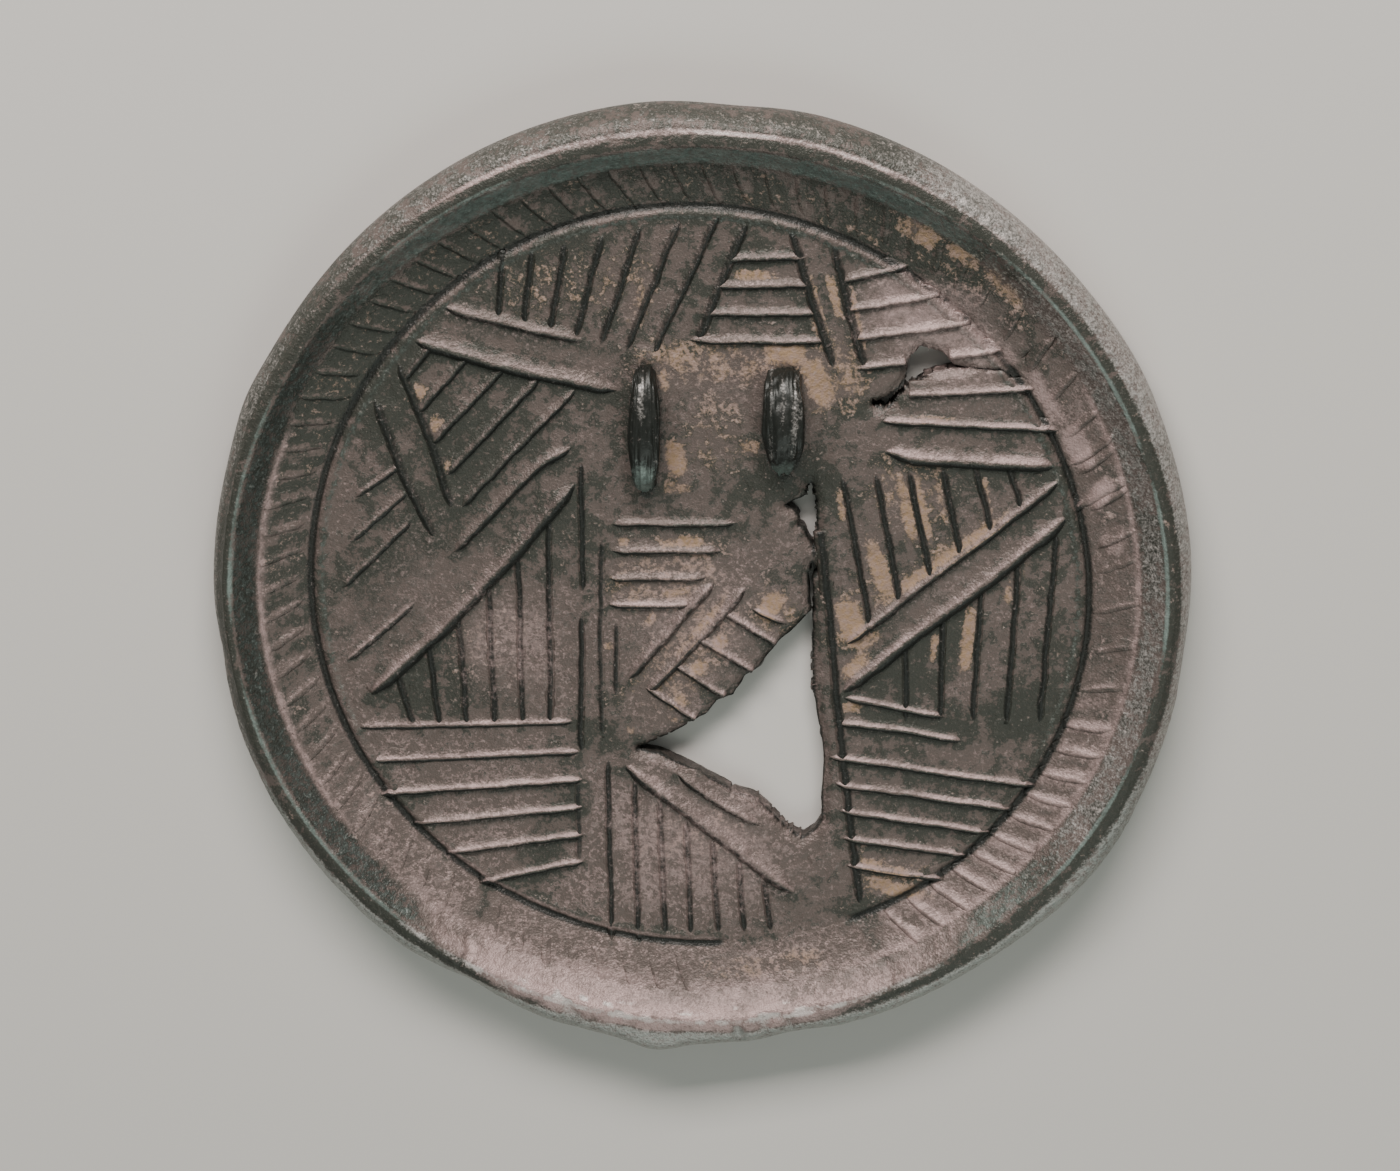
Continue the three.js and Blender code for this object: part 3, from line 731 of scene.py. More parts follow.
# Ochre soil left in the hollows: (x, y, half length, half width, turn of its length, strength).
SOIL = [
    (-18, 36.5, 3.5, 2.2, 60, 0.42),
    (-11.5, 36.5, 4, 3, 70, 0.42),
    (-6.5, 34, 3, 1.5, 70, 0.56),
    (6.5, 37.5, 3, 0.7, 0, 0.9),
    (13.6, 33, 5, 0.8, -75, 1.0),
    (15.5, 35, 3, 0.6, -75, 1.0),
    (18, 32, 5, 0.7, -78, 0.9),
    (10, 28.2, 2.8, 1.2, 0, 1.3),
    (13.8, 25, 3.2, 1.5, -70, 1.3),
    (6, 27, 1.2, 0.8, 0, 0.8),
    (6, 17, 1.2, 1.0, 0, 0.8),
    (-4, 25, 1.4, 0.6, -80, 0.9),
    (-2.6, 15.5, 2.2, 1.2, -80, 1.2),
    (-2.5, 12, 1.6, 0.8, 0, 0.8),
    (27, 20.6, 4.5, 0.5, 0, 0.6),
    (16.5, 10, 2.2, 0.5, -80, 0.9),
    (17.8, -4.2, 3.2, 1.6, -70, 1.4),
    (21, 2.5, 4.2, 1.1, -72, 1.2),
    (24, 10, 4.6, 0.8, -78, 1.1),
    (25.6, 10, 4.8, 0.8, -78, 1.2),
    (33.2, 11.3, 2.6, 0.6, -78, 0.9),
    (28, 11, 3, 0.5, -78, 0.8),
    (28.5, 3.6, 10, 0.9, 37, 1.2),
    (18.3, -9.5, 2.2, 1.0, 45, 1.1),
    (19.8, -6.5, 2.0, 0.8, 40, 1.0),
    (27.5, -7, 2.2, 0.5, 82, 1.0),
    (31.4, -6, 4.4, 0.8, 84, 1.2),
    (36, 0, 1.8, 0.5, 84, 0.8),
    (38, 3, 1.4, 0.4, 84, 0.7),
    (17.8, -14.7, 1.3, 0.7, 0, 1.0),
    (22.5, -35, 4, 0.8, -15, 1.0),
    (23.5, -37.6, 3.6, 1.0, -12, 1.1),
    (-2, 5.4, 3, 0.8, 3, 1.0),
    (-2.6, -0.8, 2, 0.6, 10, 1.0),
    (-5.5, -4, 1.2, 0.7, 50, 0.8),
    (-0.6, -6.6, 7, 0.7, 54, 1.2),
    (8.5, -2.4, 2.0, 1.3, 60, 1.4),
    (2.5, -7, 1.2, 0.9, 60, 1.2),
    (0, -10, 1.2, 0.9, 60, 1.2),
    (-2.1, -14.4, 1.2, 0.7, 60, 0.9),
    (-10.5, -7.5, 0.7, 0.6, 0, 1.0),
    (-8.7, 5.3, 0.7, 0.6, 0, 1.0),
    (-3, -16.5, 0.8, 0.5, 0, 0.8),
    (-8, -18, 0.7, 0.5, 0, 0.8),
    (-32.3, 23, 1.4, 1.0, 60, 1.1),
    (-30.3, 19, 1.4, 0.9, 60, 1.0),
    (-29.2, 14.5, 1.0, 0.8, 60, 0.8),
    (-3, -33, 6, 1.6, 0, 0.35),
    (25, 43, 3, 1.4, -30, 1.0),
    (30, 40.3, 2.6, 1.1, -35, 0.9),
    (34.5, 37, 3.6, 1.1, -48, 0.8),
    (12, -46.5, 3.5, 1.4, 10, 0.6),
]

# Thin soil and rubbed metal over wider places: (x, y, half length, half width, turn, strength).
TAN = [
    (-15, 36, 9, 4.5, 12, 0.44),
    (-8, 38, 4, 3.5, 60, 0.44),
    (2, 27, 10, 3.2, 0, 0.7),
    (15, 26, 5, 5, -70, 0.7),
    (2, 20, 4, 7, 0, 0.48),
    (-3, 1, 8, 5, 8, 0.64),
    (-1, -8, 10, 4.5, 52, 0.66),
    (8.5, -3, 3, 3, 60, 0.66),
    (18.5, -3, 2.6, 7, -20, 0.55),
    (27, 3, 11, 1.8, 38, 0.56),
    (24, 12, 5, 6, 0, 0.54),
    (23, -36, 6, 3.4, -10, 0.53),
    (0, -31, 7, 4, 0, 0.45),
    (-24, -8, 6, 7, 0, 0.36),
    (8, -47.5, 9, 1.6, 8, 0.50),
    (30, 39, 9, 4, -42, 0.45),
]

# Wider places rubbed brown and rose: (x, y, half length, half width, turn, strength).
RUBBED = [
    (0, -33, 12, 9, 0, 0.5),
    (26, 33, 9, 5, -10, 0.62),
    (31, 23.5, 8, 3, 0, 0.36),
    (6, 35, 5, 6, 0, 0.14),
    (3, 24, 6, 5, 0, 0.3),
    (-22, -8, 7, 8, 0, 0.42),
    (-33, 0, 6, 12, -40, 0.26),
    (29, 29.5, 8, 6, -30, 0.6),
    (0, -3, 8, 9, 0, 0.44),
    (-25, -31, 8, 6, 20, 0.26),
    (-20, 30, 12, 2, -16, 0.3),
    (27, -0.5, 8, 1.8, 37, 0.36),
]

# Rubbed facets of the border: (x, y, half length, half width, turn, strength).
FACETS = [
    (46.3, 12.2, 2.2, 1.3, 60, 0.95),
    (43.6, 17.6, 3.0, 1.6, 112, 0.9),
    (39.6, 23.6, 4.0, 1.1, 121, 0.85),
    (48.0, 6.5, 2.2, 1.6, 90, 0.6),
    (35.4, 28.4, 1.5, 0.8, 128, 0.7),
]

# Places where the face is smooth and dark: (x, y, half length, half width, turn, strength).
DARK = [
    (-36, 21, 6, 4, 60, 0.7),
    (-37, 2.5, 7, 4.5, 50, 0.38),
    (-26, 17, 10, 5.5, 38, 0.62),
    (-30, 9, 7, 5, 40, 0.52),
    (27, -27, 9, 7, 0, 0.34),
    (-28, -13, 10, 3.5, 0, 0.6),
    (-18, -32, 8, 2.4, 62, 0.65),
    (27.5, -8, 7, 4, 40, 0.58),
    (27, -16.5, 8, 2.4, -5, 0.6),
    (37.5, -15, 5, 3.2, 20, 0.85),
    (27, 11, 6, 5, 0, 0.34),
    (17.5, 22, 2.6, 1.8, 0, 0.6),
    (6, 39, 6, 3, 0, 0.4),
    (0, 33, 5, 3, 50, 0.4),
    (13.5, 12, 3, 4, 0, 0.7),
    (-10, -19, 6, 3, 0, 0.4),
    (-26, -40.3, 4, 1.4, 57, 0.7),
    (21, -43.3, 4, 1.3, -64, 0.6),
    (8, 12, 3.4, 2.6, 0, 0.55),
]


def patches(x, y, table):
    """The strongest of several turned oval patches at each place, each a flat-topped bell curve."""
    strongest = np.zeros(x.shape)
    for px, py, long, wide, turn, strength in table:
        cosine, sine = np.cos(np.radians(turn)), np.sin(np.radians(turn))
        u = ((x - px) * cosine + (y - py) * sine) / long
        v = ((y - py) * cosine - (x - px) * sine) / wide
        strongest = np.maximum(strongest, strength * np.exp(-(u**4) - v**4 * 0.8 - 0.2 * v**2))
    return strongest


class Zones:
    """Where each vertex lies on the mirror, and how far it belongs to each zone, from 0 to 1.

    Across the rim the zones are the flat field inside the ring, the border, the wall, the flat
    crest and the outer side. Round it they are the top, the left and the bottom. The bottom is the
    stretch where the slope faces the key lamp and is painted bright as lit; noise and the distance
    to the crest move its ends."""

    def __init__(self, points, sizes):
        """Places first, then the sectors round the disc, then the zones across the rim."""
        self.x, self.y, self.z = points.T
        self.radius = np.hypot(self.x, self.y)
        self.angle = np.degrees(np.arctan2(self.y, self.x))
        self.past_ring = self.radius - ring_circle(self.angle, sizes)
        self.past_crest = self.radius - crest_circle(self.angle, sizes)
        self.past_foot = self.past_crest + WALL_WIDTH
        self.ring_line = ring_kept(self.angle)
        # The bottom: the stretch of slope that faces the key lamp, painted bright as lit.
        lean = 5 * np.sign(wrapped(self.angle - 268)) * (self.past_crest + 1.2)
        wander = 5 * noise(self.angle, self.radius, 5, 103)
        self.bottom = sector(self.angle + lean + wander, 268, 27, 16)
        self.top = self.facing(100, 42, 45)
        self.left = self.facing(185, 38, 18)
        self.field = 1 - smooth(-1.5, 0, self.past_ring)
        self.border = smooth(0.3, 0.9, self.past_ring) * (1 - smooth(-0.4, 0.3, self.past_foot))
        wall = smooth(-0.3, 0.5, self.past_foot) * (1 - smooth(-0.5, 0.1, self.past_crest))
        self.wall = wall * (1 - self.bottom)
        edge = 1.7 - 0.3 * self.facing(90, 60, 30)
        self.outer = smooth(edge - 0.2, edge + 0.2, self.past_crest)
        crest = smooth(-0.2, 0.3, self.past_crest) * (1 - self.outer)
        self.flat_crest = crest * (1 - self.bottom)
        # Along the lower crest a painted glint, and just outside it painted shade, where the outer
        # side turns away from the key lamp.
        lower_crest = self.facing(266, 30, 12)
        self.lower_crest = lower_crest * band(self.past_crest, 0.3, 0.34)
        self.shade_under_crest = lower_crest * band(self.past_crest, 1.15, 0.35)
        self.facet = patches(self.x, self.y, FACETS)

    def facing(self, middle, half, fade):
        """The sector of the disc round a direction."""
        return sector(self.angle, middle, half, fade)

    def trough(self):
        """1 between the border's slanted lines and 0 on them: half of one minus a cosine of the
        angle, which the slant and a little noise turn, over the lines' pitch."""
        middle_radius = (BORDER_INNER + BORDER_OUTER) / 2
        slant = BORDER_SLANT / (BORDER_OUTER - BORDER_INNER) * (self.radius - middle_radius)
        turned = self.angle - slant + 0.8 * noise(self.angle, self.radius, 6, 113)
        return 0.5 - 0.5 * np.cos(2 * np.pi * turned / BORDER_PITCH)


def black_at(zones):
    """Glossy black patina on the wall and in the groove, and painted shadow round the loops' feet and
    just outside the lower crest.
    """
    # Painted shadow round the feet of the loops.
    loop_shadow = sum(
        band(np.maximum(loop_distance(zones.x, zones.y, loop), 0), 0, 0.2) for loop in LOOPS
    )
    wall = zones.wall * (0.15 + 0.38 * zones.left - 0.15 * zones.facing(50, 70, 30))
    groove = band(zones.past_ring, 0.12, 0.5) * zones.ring_line
    loop_shadow = 0.5 * np.minimum(loop_shadow, 1)
    strongest = np.maximum.reduce([wall, groove, loop_shadow, 0.5 * zones.shade_under_crest])
    return strongest * (1 - zones.facet)


def soil_at(zones):
    """Ochre soil: its patches, and stripes of noise in the border, most of them at the top."""
    striped = 0.5 + 0.5 * noise(zones.angle, 0.3 * zones.radius, 1.6, 107)
    on_border = zones.border * (zones.top * (0.02 + 0.26 * striped) + 0.1)
    lumps = 1.16 * patches(zones.x, zones.y, SOIL)
    return np.maximum.reduce([lumps, patches(zones.x, zones.y, TAN), on_border])


def shade_at(zones):
    """Dull dark green patina, and painted shade: dark places and a broad darkening over the field's
    upper left, to which the lip, the border, the wall, the crest and the outer side add patina,
    and the lines' lee feet, the top of the border, the border's troughs and a band just outside
    the lower crest add painted shade."""
    x, y, facing = zones.x, zones.y, zones.facing
    upper_left = smooth(5, 50, 0.55 * y - 0.55 * x - 6)
    cast = (0.22 + 0.2 * upper_left) * zones.field * smooth(-25, 15, y)
    shade = np.maximum(patches(x, y, DARK), cast)
    # Painted shadow at the raised lines' feet, strongest on the side away from the key lamp.
    shade = shade + 1.2 * line_feet(x, y, raised_lines())[1]
    shade = shade + 0.35 * band(zones.past_ring, -1.1, 0.5) * zones.ring_line

    # Painted shade over the top of the border, which the rim shades, and less of it at the bottom,
    # which faces the lamp.
    rim_shadow = 0.5 + 0.35 * facing(135, 12, 12) + 0.25 * facing(45, 12, 12)
    ribbed = facing(204, 52, 14) + facing(322, 20, 8) + 0.6 * zones.top
    sides = 0.3 * facing(180, 26, 20) + 0.18 * facing(0, 16, 14)
    on_border = rim_shadow * zones.top - 0.15 * zones.bottom + sides
    # The troughs between the border's lines get painted shade.
    shade = shade + zones.border * (on_border + 0.42 * ribbed * (zones.trough() - 0.55))

    shade = shade + (0.3 + 0.15 * zones.left) * zones.wall + 0.75 * zones.flat_crest
    shade = shade + (0.42 + 0.25 * zones.left - 0.3 * zones.bottom) * zones.outer
    # Painted shade just outside the lower crest.
    shade = shade + 0.9 * zones.shade_under_crest
    return np.clip(shade * (1 - zones.facet), 0, 1.2)


def rose_at(zones):
    """Rubbed metal and painted highlight: the slope at the bottom, which faces the key lamp, the lip
    there and a sheen line along the top of the outer side are painted light; the shoulder over the
    border, the border, and the rubbed patches and facets are rubbed metal."""
    x, y, facing = zones.x, zones.y, zones.facing
    shoulder = band(zones.past_foot, -0.35, 0.5)
    strong_shoulder = 0.75 * np.maximum(facing(187, 24, 10), facing(318, 22, 12))
    shoulder = shoulder * np.maximum(strong_shoulder, 0.7 * facing(0, 26, 10))
    slope = zones.bottom * smooth(-2.4, -0.6, zones.past_foot) * (1 - zones.outer)
    # Painted light on the bottom slope, which faces the key lamp.
    bright = 0.45 + 0.38 * smooth(0.5, 2.6, zones.past_foot)
    bright = bright - 0.12 * facing(296, 9, 8) + 0.12 * facing(249, 9, 8)
    bright = bright + 0.12 * noise(x, y, 2.2, 109)
    # Painted highlight on the lip at the bottom, where it faces the lamp.
    lip_highlight = 0.6 * band(zones.past_ring, -0.55, 0.35) * facing(255, 26, 10) * zones.ring_line
    on_border = 0.26 * zones.border * (1 - zones.top) * (1 - 0.6 * facing(178, 22, 16))
    ribs = 0.64 * zones.border * facing(320, 20, 8) * (1 - 0.5 * zones.trough())
    # Painted sheen line along the top edge of the outer side.
    arris_sheen = band(zones.past_crest, 1.5, 0.24) * (0.35 + 0.65 * facing(92, 20, 18))
    arris_sheen = 1.3 * arris_sheen * facing(90, 40, 24)
    rubbed = np.maximum(patches(x, y, RUBBED), zones.facet)
    return np.maximum.reduce([shoulder, slope * bright, lip_highlight, on_border, ribs, arris_sheen, rubbed])


def pale_at(zones):
    """Thin pale corrosion and a painted glint: a broken painted glint along the crest's inner edge, a
    seam low on the outer side, and thin films on the outer side, the wall and the lip."""
    facing = zones.facing
    # Painted glint along the inner edge of the crest.
    glint = 0.78 * facing(40, 42, 10) + 0.6 * facing(146, 32, 8)
    glint = glint + 0.7 * facing(206, 20, 14) + 0.85 * facing(326, 24, 12)
    broken = smooth(-1.6, 0.3, noise(zones.angle, 0, 9, 101))
    crest = glint * band(zones.past_crest, 0.1, 0.36) * broken
    seam = facing(270, 84, 12) * band(zones.z, 0.9, 0.6) * smooth(2.2, 3, zones.past_crest)
    outer = 0.52 * zones.outer * (0.45 + 0.55 * facing(270, 56, 24))
    film = 0.5 - 0.25 * facing(5, 34, 20) - 0.08 * zones.left + 0.1 * facing(90, 26, 20)
    lip_film = 0.42 * band(zones.past_ring, -1.2, 0.7) * zones.ring_line
    lip_film = lip_film * (1 - 0.6 * facing(270, 50, 20))
    return np.maximum.reduce([crest, 0.7 * seam, outer, film * zones.wall, lip_film])


def dust_at(zones):
    """Grey dust on the outer side and the wall at the right, and painted highlight: sparkling glints
    along the lower crest and a sheen line along the top."""
    facing = zones.facing
    outer = 0.32 + 0.24 * facing(45, 12, 16) + 0.12 * facing(122, 8, 12)
    outer = outer + 0.26 * facing(350, 30, 14) - 0.16 * facing(105, 34, 14)
    outer = zones.outer * np.maximum(outer, 0.7 * facing(268, 50, 20))
    wall = 0.42 * zones.wall * facing(5, 34, 20)
    # Painted glints along the ragged lower crest.
    sparkle = smooth(-0.5, 0.4, noise(zones.angle, 0, 1.4, 127))
    crest = (0.45 + 0.65 * sparkle) * zones.lower_crest
    # Painted sheen line along the top of the outer side.
    top_sheen = 0.85 * band(zones.past_crest, 1.5, 0.18) * facing(88, 18, 18)
    return np.maximum.reduce([outer, wall, crest, top_sheen])


def finish_at(points, sizes):
    """The finish at each place as two tables: black, soil and shade; and rose, pale and dust."""
    zones = Zones(points, sizes)
    patina = np.c_[black_at(zones), soil_at(zones), shade_at(zones)]
    return patina, np.c_[rose_at(zones), pale_at(zones), dust_at(zones)]


# ---- Settings ----


def length_setting(name, description, millimetres):
    """A length that the panel shows."""
    return FloatProperty(
        name=name, description=description, default=millimetres * MM, unit="LENGTH"
    )


def power_setting(name, description, watts):
    """A lamp's power that the panel shows."""
    return FloatProperty(name=name, description=description, default=watts, unit="POWER")


def angle_setting(name, description, degrees):
    """An angle that the panel shows."""
    return FloatProperty(
        name=name, description=description, default=np.radians(degrees), subtype="ANGLE"
    )


def colour_setting(name, description, *value):
    """A colour that the panel shows."""
    options = {"subtype": "COLOR", "size": 4, "min": 0, "max": 1}
    return FloatVectorProperty(name=name, description=description, default=(*value, 1), **options)


class MirrorSizes(bpy.types.PropertyGroup):
    """Driving sizes of the plate, the rim and the relief."""

    edge_radius: length_setting("Edge radius", "Widest part of the rim", 57.2)
    crest_radius: length_setting("Crest radius", "Inner edge of the rim's top", 53.7)
    ring_radius: length_setting("Ring radius", "Groove that closes the field", 45.15)
    plate_top: length_setting("Plate thickness", "Height of the field's face", 3.0)
    rim_top: length_setting("Rim height", "Height of the rim's top", 7.2)
    relief: FloatProperty(
        name="Relief", description="Factor on the height of the raised lines", default=1.1, min=0.1
    )
    field_rings: IntProperty(
        name="Field rings", description="Rings of faces inside the groove", default=112, min=16
    )
    rim_rows: IntProperty(
        name="Rim rows", description="Rows of faces across the rim", default=46, min=12
    )


class MirrorColours(bpy.types.PropertyGroup):
    """Colours of the patina."""

    brown: colour_setting("Brown", "Bare patina of the field", 0.122, 0.096, 0.083)
    # Rose also paints highlights: the side of a raised line that faces the key lamp, the slope and lip
    # at the bottom, and the sheen line on top of the rim.
    rose: colour_setting("Rose", "Rubbed patina", 0.38, 0.275, 0.255)
    # Shade also paints shade and shadow: at the lines' lee feet, over the top of the border, in the
    # border's troughs and just outside the lower crest.
    shade: colour_setting("Shade", "Dull dark green patina", 0.04, 0.044, 0.034)
    # Black also paints shadow round the loops' feet, on the lees of lines that face the loops and just
    # outside the lower crest.
    black: colour_setting("Black", "Glossy patina of raised and sheltered places", 0.016, 0.018, 0.015)
    soil: colour_setting("Soil", "Ochre soil in the hollows", 0.36, 0.245, 0.145)
    # Pale green also paints a glint along the crest's inner edge.
    pale: colour_setting("Pale green", "Thin pale corrosion", 0.21, 0.262, 0.235)
    # Dust also paints glints along the lower crest and a sheen line along the top of the rim.
    dust: colour_setting("Dust", "Grainy grey corrosion of the rim", 0.56, 0.525, 0.49)


class StageSettings(bpy.types.PropertyGroup):
    """Floor, lamps and camera."""

    floor_colour: colour_setting("Floor", "Colour of the floor", 0.62, 0.6, 0.56)
    key_power: power_setting("Key lamp", "Power of the lamp on the loops' side", 11.0)
    fill_power: power_setting("Fill lamp", "Power of the lamp opposite the key lamp", 2.4)
    distance: length_setting("Camera distance", "From the disc's middle", 550)
    tilt: angle_setting("Camera tilt", "From straight above, towards the loops", 19)
    swing: angle_setting("Camera swing", "Of the tilt, towards +X", 7)
    lens: FloatProperty(name="Lens", description="Focal length in millimetres", default=121.06)


# ---- Material ----

# Each finish: roughness of its bare and of its black parts, and depth of its finest roughness.
FINISHES = {
    "Patinated bronze": ((0.5, 0.44), 0.34),
    "Handled bronze": ((0.5, 0.41), 0.08),
}


class Shader:
    """Short names for adding nodes to one material and joining them."""

    def __init__(self, material):
        """Empties the material and starts with the place on the object."""
        material.use_nodes = True
        self.nodes = material.node_tree.nodes
        self.links = material.node_tree.links
        self.nodes.clear()
        self.place = self.nodes.new("ShaderNodeTexCoord").outputs["Object"]

    def join(self, value, socket):
        """Links an output, or writes a plain value, to a socket."""
        if isinstance(value, bpy.types.NodeSocket):
            self.links.new(value, socket)
        else:
            socket.default_value = value

    def math(self, operation, *values):
        """One sum, product or the like of outputs and plain values."""
        node = self.nodes.new("ShaderNodeMath")
        node.operation = operation
        for value, socket in zip(values, node.inputs):
            self.join(value, socket)
        return node.outputs[0]

    def noise(self, cell, detail=3.0, harsh=0.55, stretch=(1, 1, 1)):
        """Noise whose blobs are about one cell, in millimetres, across."""
        mapping = self.nodes.new("ShaderNodeMapping")
        mapping.inputs["Scale"].default_value = stretch
        self.links.new(self.place, mapping.inputs["Vector"])
        node = self.nodes.new("ShaderNodeTexNoise")
        node.inputs["Scale"].default_value = 1 / (cell * MM)
        node.inputs["Detail"].default_value = detail
        node.inputs["Roughness"].default_value = harsh
        self.links.new(mapping.outputs[0], node.inputs["Vector"])
        return node.outputs["Fac"]

    def step(self, value, low, high, start=0.0, end=1.0):
        """A soft step from start to end as value goes from low to high."""
        node = self.nodes.new("ShaderNodeMapRange")
        node.interpolation_type = "SMOOTHSTEP"
        self.join(value, node.inputs["Value"])
        limits = {"From Min": low, "From Max": high, "To Min": start, "To Max": end}
        for name, limit in limits.items():
            node.inputs[name].default_value = limit
        return node.outputs["Result"]

    def mix(self, share, first, second):
        """A colour between the first and the second, by the share of the second."""
        node = self.nodes.new("ShaderNodeMix")
        node.data_type = "RGBA"
        self.join(share, node.inputs["Factor"])
        self.join(first, node.inputs[6])
        self.join(second, node.inputs[7])
        return node.outputs[2]

    def parts(self, name):
        """The three channels of a colour attribute."""
        attribute = self.nodes.new("ShaderNodeAttribute")
        attribute.attribute_name = name
        split = self.nodes.new("ShaderNodeSeparateColor")
        self.links.new(attribute.outputs["Color"], split.inputs[0])
        return split.outputs[:3]


def bronze(name, colours, gloss_step, relief):
    """Patinated bronze; gloss_step holds the roughness of its bare and of its black parts, and
    relief the depth of its finest roughness in millimetres.

    The attribute "patina" holds black, soil and shade, where black and shade also carry painted
    shadow, and "wear" holds rose, pale and dust, which also carry painted highlights.
    Noise on object coordinates mottles every part and breaks up the border of every patch."""
    material = bpy.data.materials.new(name)
    shader = Shader(material)
    black, soil, shade = shader.parts("patina")
    rubbed, pale, dust_and_sheen = shader.parts("wear")
    grain = shader.noise(0.26, 2, 0.6)
    speck = shader.noise(0.62, 3, 0.65)
    blot = shader.noise(1.7, 4, 0.65)
    mottled = shader.noise(4.5, 3, 0.55)
    broad = shader.noise(15, 3, 0.5)

    def reach(base, *shifts):
        """The base shifted up and down by noises, so that its edge turns ragged."""
        for source, amount in shifts:
            base = shader.math("MULTIPLY_ADD", shader.math("SUBTRACT", source, 0.5), amount, base)
        return base

    blotched = reach(blot, (mottled, 0.8), (speck, 1.5), (grain, 0.8))
    bare = shader.mix(shader.step(blotched, 0.42, 0.8, 0, 0.85), colours.brown[:], colours.rose[:])
    # Dark green patina, and painted shade where the attribute puts it.
    clouded = reach(shade, (broad, 1.0), (mottled, 1.8), (blot, 3.0), (speck, 2.0), (grain, 0.8))
    field = shader.mix(shader.step(clouded, 0.08, 0.55, 0, 0.95), bare, colours.shade[:])
    spotted = reach(soil, (mottled, 0.8), (blot, 2.0), (speck, 2.2), (grain, 0.9))
    earth = shader.mix(shader.step(speck, 0.36, 0.64, 0.0, 0.55), colours.soil[:], colours.rose[:])
    soiled = shader.mix(shader.step(spotted, 0.46, 1.05, 0, 0.92), field, earth)
    # Black patina, and painted shadow where the attribute puts it.
    lifted = reach(black, (speck, 0.9), (grain, 0.3))
    black_and_shadow = shader.mix(shader.step(lifted, 0.2, 0.75, 0, 0.95), soiled, colours.black[:])
    # Rubbed rose, and painted highlight where the attribute puts it.
    rubbed_and_lit = reach(rubbed, (mottled, 0.5), (blot, 0.9), (speck, 0.9), (grain, 0.5))
    rose = shader.mix(shader.step(rubbed_and_lit, 0.15, 0.95, 0, 0.95), black_and_shadow, colours.rose[:])
    # Grey dust, and painted glints and sheen where the attribute puts them.
    grainy = reach(dust_and_sheen, (grain, 1.1), (speck, 1.0), (blot, 0.5))
    dust_and_sheen_mix = shader.mix(shader.step(grainy, 0.14, 1.04, 0, 0.85), rose, colours.dust[:])
    crusted = reach(pale, (speck, 0.6), (grain, 0.3))
    final = shader.mix(shader.step(crusted, 0.3, 0.85, 0, 0.9), dust_and_sheen_mix, colours.pale[:])

    gloss = shader.nodes.new("ShaderNodeBsdfPrincipled")
    shader.links.new(final, gloss.inputs["Base Color"])
    dull = shader.step(spotted, 0.55, 0.9, 0.0, 0.35)
    sheen = shader.step(lifted, 0.1, 0.7, *gloss_step)
    shader.links.new(shader.math("ADD", sheen, dull), gloss.inputs["Roughness"])
    gloss.inputs["Metallic"].default_value = 0.35
    gloss.inputs["Specular IOR Level"].default_value = 0.5

    height = shader.math("MULTIPLY_ADD", grain, 0.45, shader.math("MULTIPLY", blot, 1.2))
    bump = shader.nodes.new("ShaderNodeBump")
    bump.inputs["Strength"].default_value = 0.7
    bump.inputs["Distance"].default_value = relief * MM
    shader.links.new(height, bump.inputs["Height"])
    shader.links.new(bump.outputs[0], gloss.inputs["Normal"])

    output = shader.nodes.new("ShaderNodeOutputMaterial")
    shader.links.new(gloss.outputs[0], output.inputs["Surface"])
    return material


def finish_piece(piece, colours, finish="Patinated bronze"):
    """Gives a piece a finish, lets it ride on the casting and hides the imported part that it stands
    for.
    """
    material = bpy.data.materials.get(finish) or bronze(finish, colours, *FINISHES[finish])
    piece.data.materials.append(material)
    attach(piece, BODY)
    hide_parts(NODE)


# ---- Plate with its rim ----


def build_plate(sizes, colours):
    """The plate with its rim as one closed mesh: the face as a grid, the rim as rows round it, the
    walls of the breaks, and a flat underside. Cracks and the edges of the breaks are black, the
    walls a little less so, and the chips are dusty."""
    x, y, z, near_break, sunk = field_surface(sizes)
    face = np.c_[x, y, z]
    rim_from = len(face)
    border = outer_square(sizes.field_rings)
    *rim, chips = rim_surface(sizes, np.degrees(np.arctan2(y[border], x[border])))
    walls_from = rim_from + chips.size
    rim_rows = np.vstack([border, rim_from + np.arange(chips.size).reshape(chips.shape)])

    quads = np.vstack([whole_quads(x, y, sizes.field_rings), ring_quads(rim_rows)])
    corners, edges = break_edges(quads, rim_from)
    walls, wall_quads = break_walls(face, corners, edges, walls_from)
    points = np.vstack([face, np.stack(rim, axis=2).reshape(-1, 3), walls])
    used, faces = np.unique(np.vstack([quads, wall_quads]), return_inverse=True)
    faces = faces.reshape(-1, 4)

    chipped, broken = np.zeros(len(points)), np.zeros(len(points))
    chipped[rim_from:walls_from] = chips.ravel()
    broken[:rim_from] = (sunk > 0) | (near_break < 0.2)
    broken[walls_from:] = 0.7
    patina, wear = finish_at(points[used], sizes)
    patina[:, 0] = np.maximum(patina[:, 0], 0.8 * broken[used])
    wear[:, 2] = np.maximum(wear[:, 2], chipped[used])
    piece = mesh_object("mirror_plate", points[used], [faces], {"patina": patina, "wear": wear})
    close_underside(piece)
    finish_piece(piece, colours)
    return piece


# ---- Raised lines ----

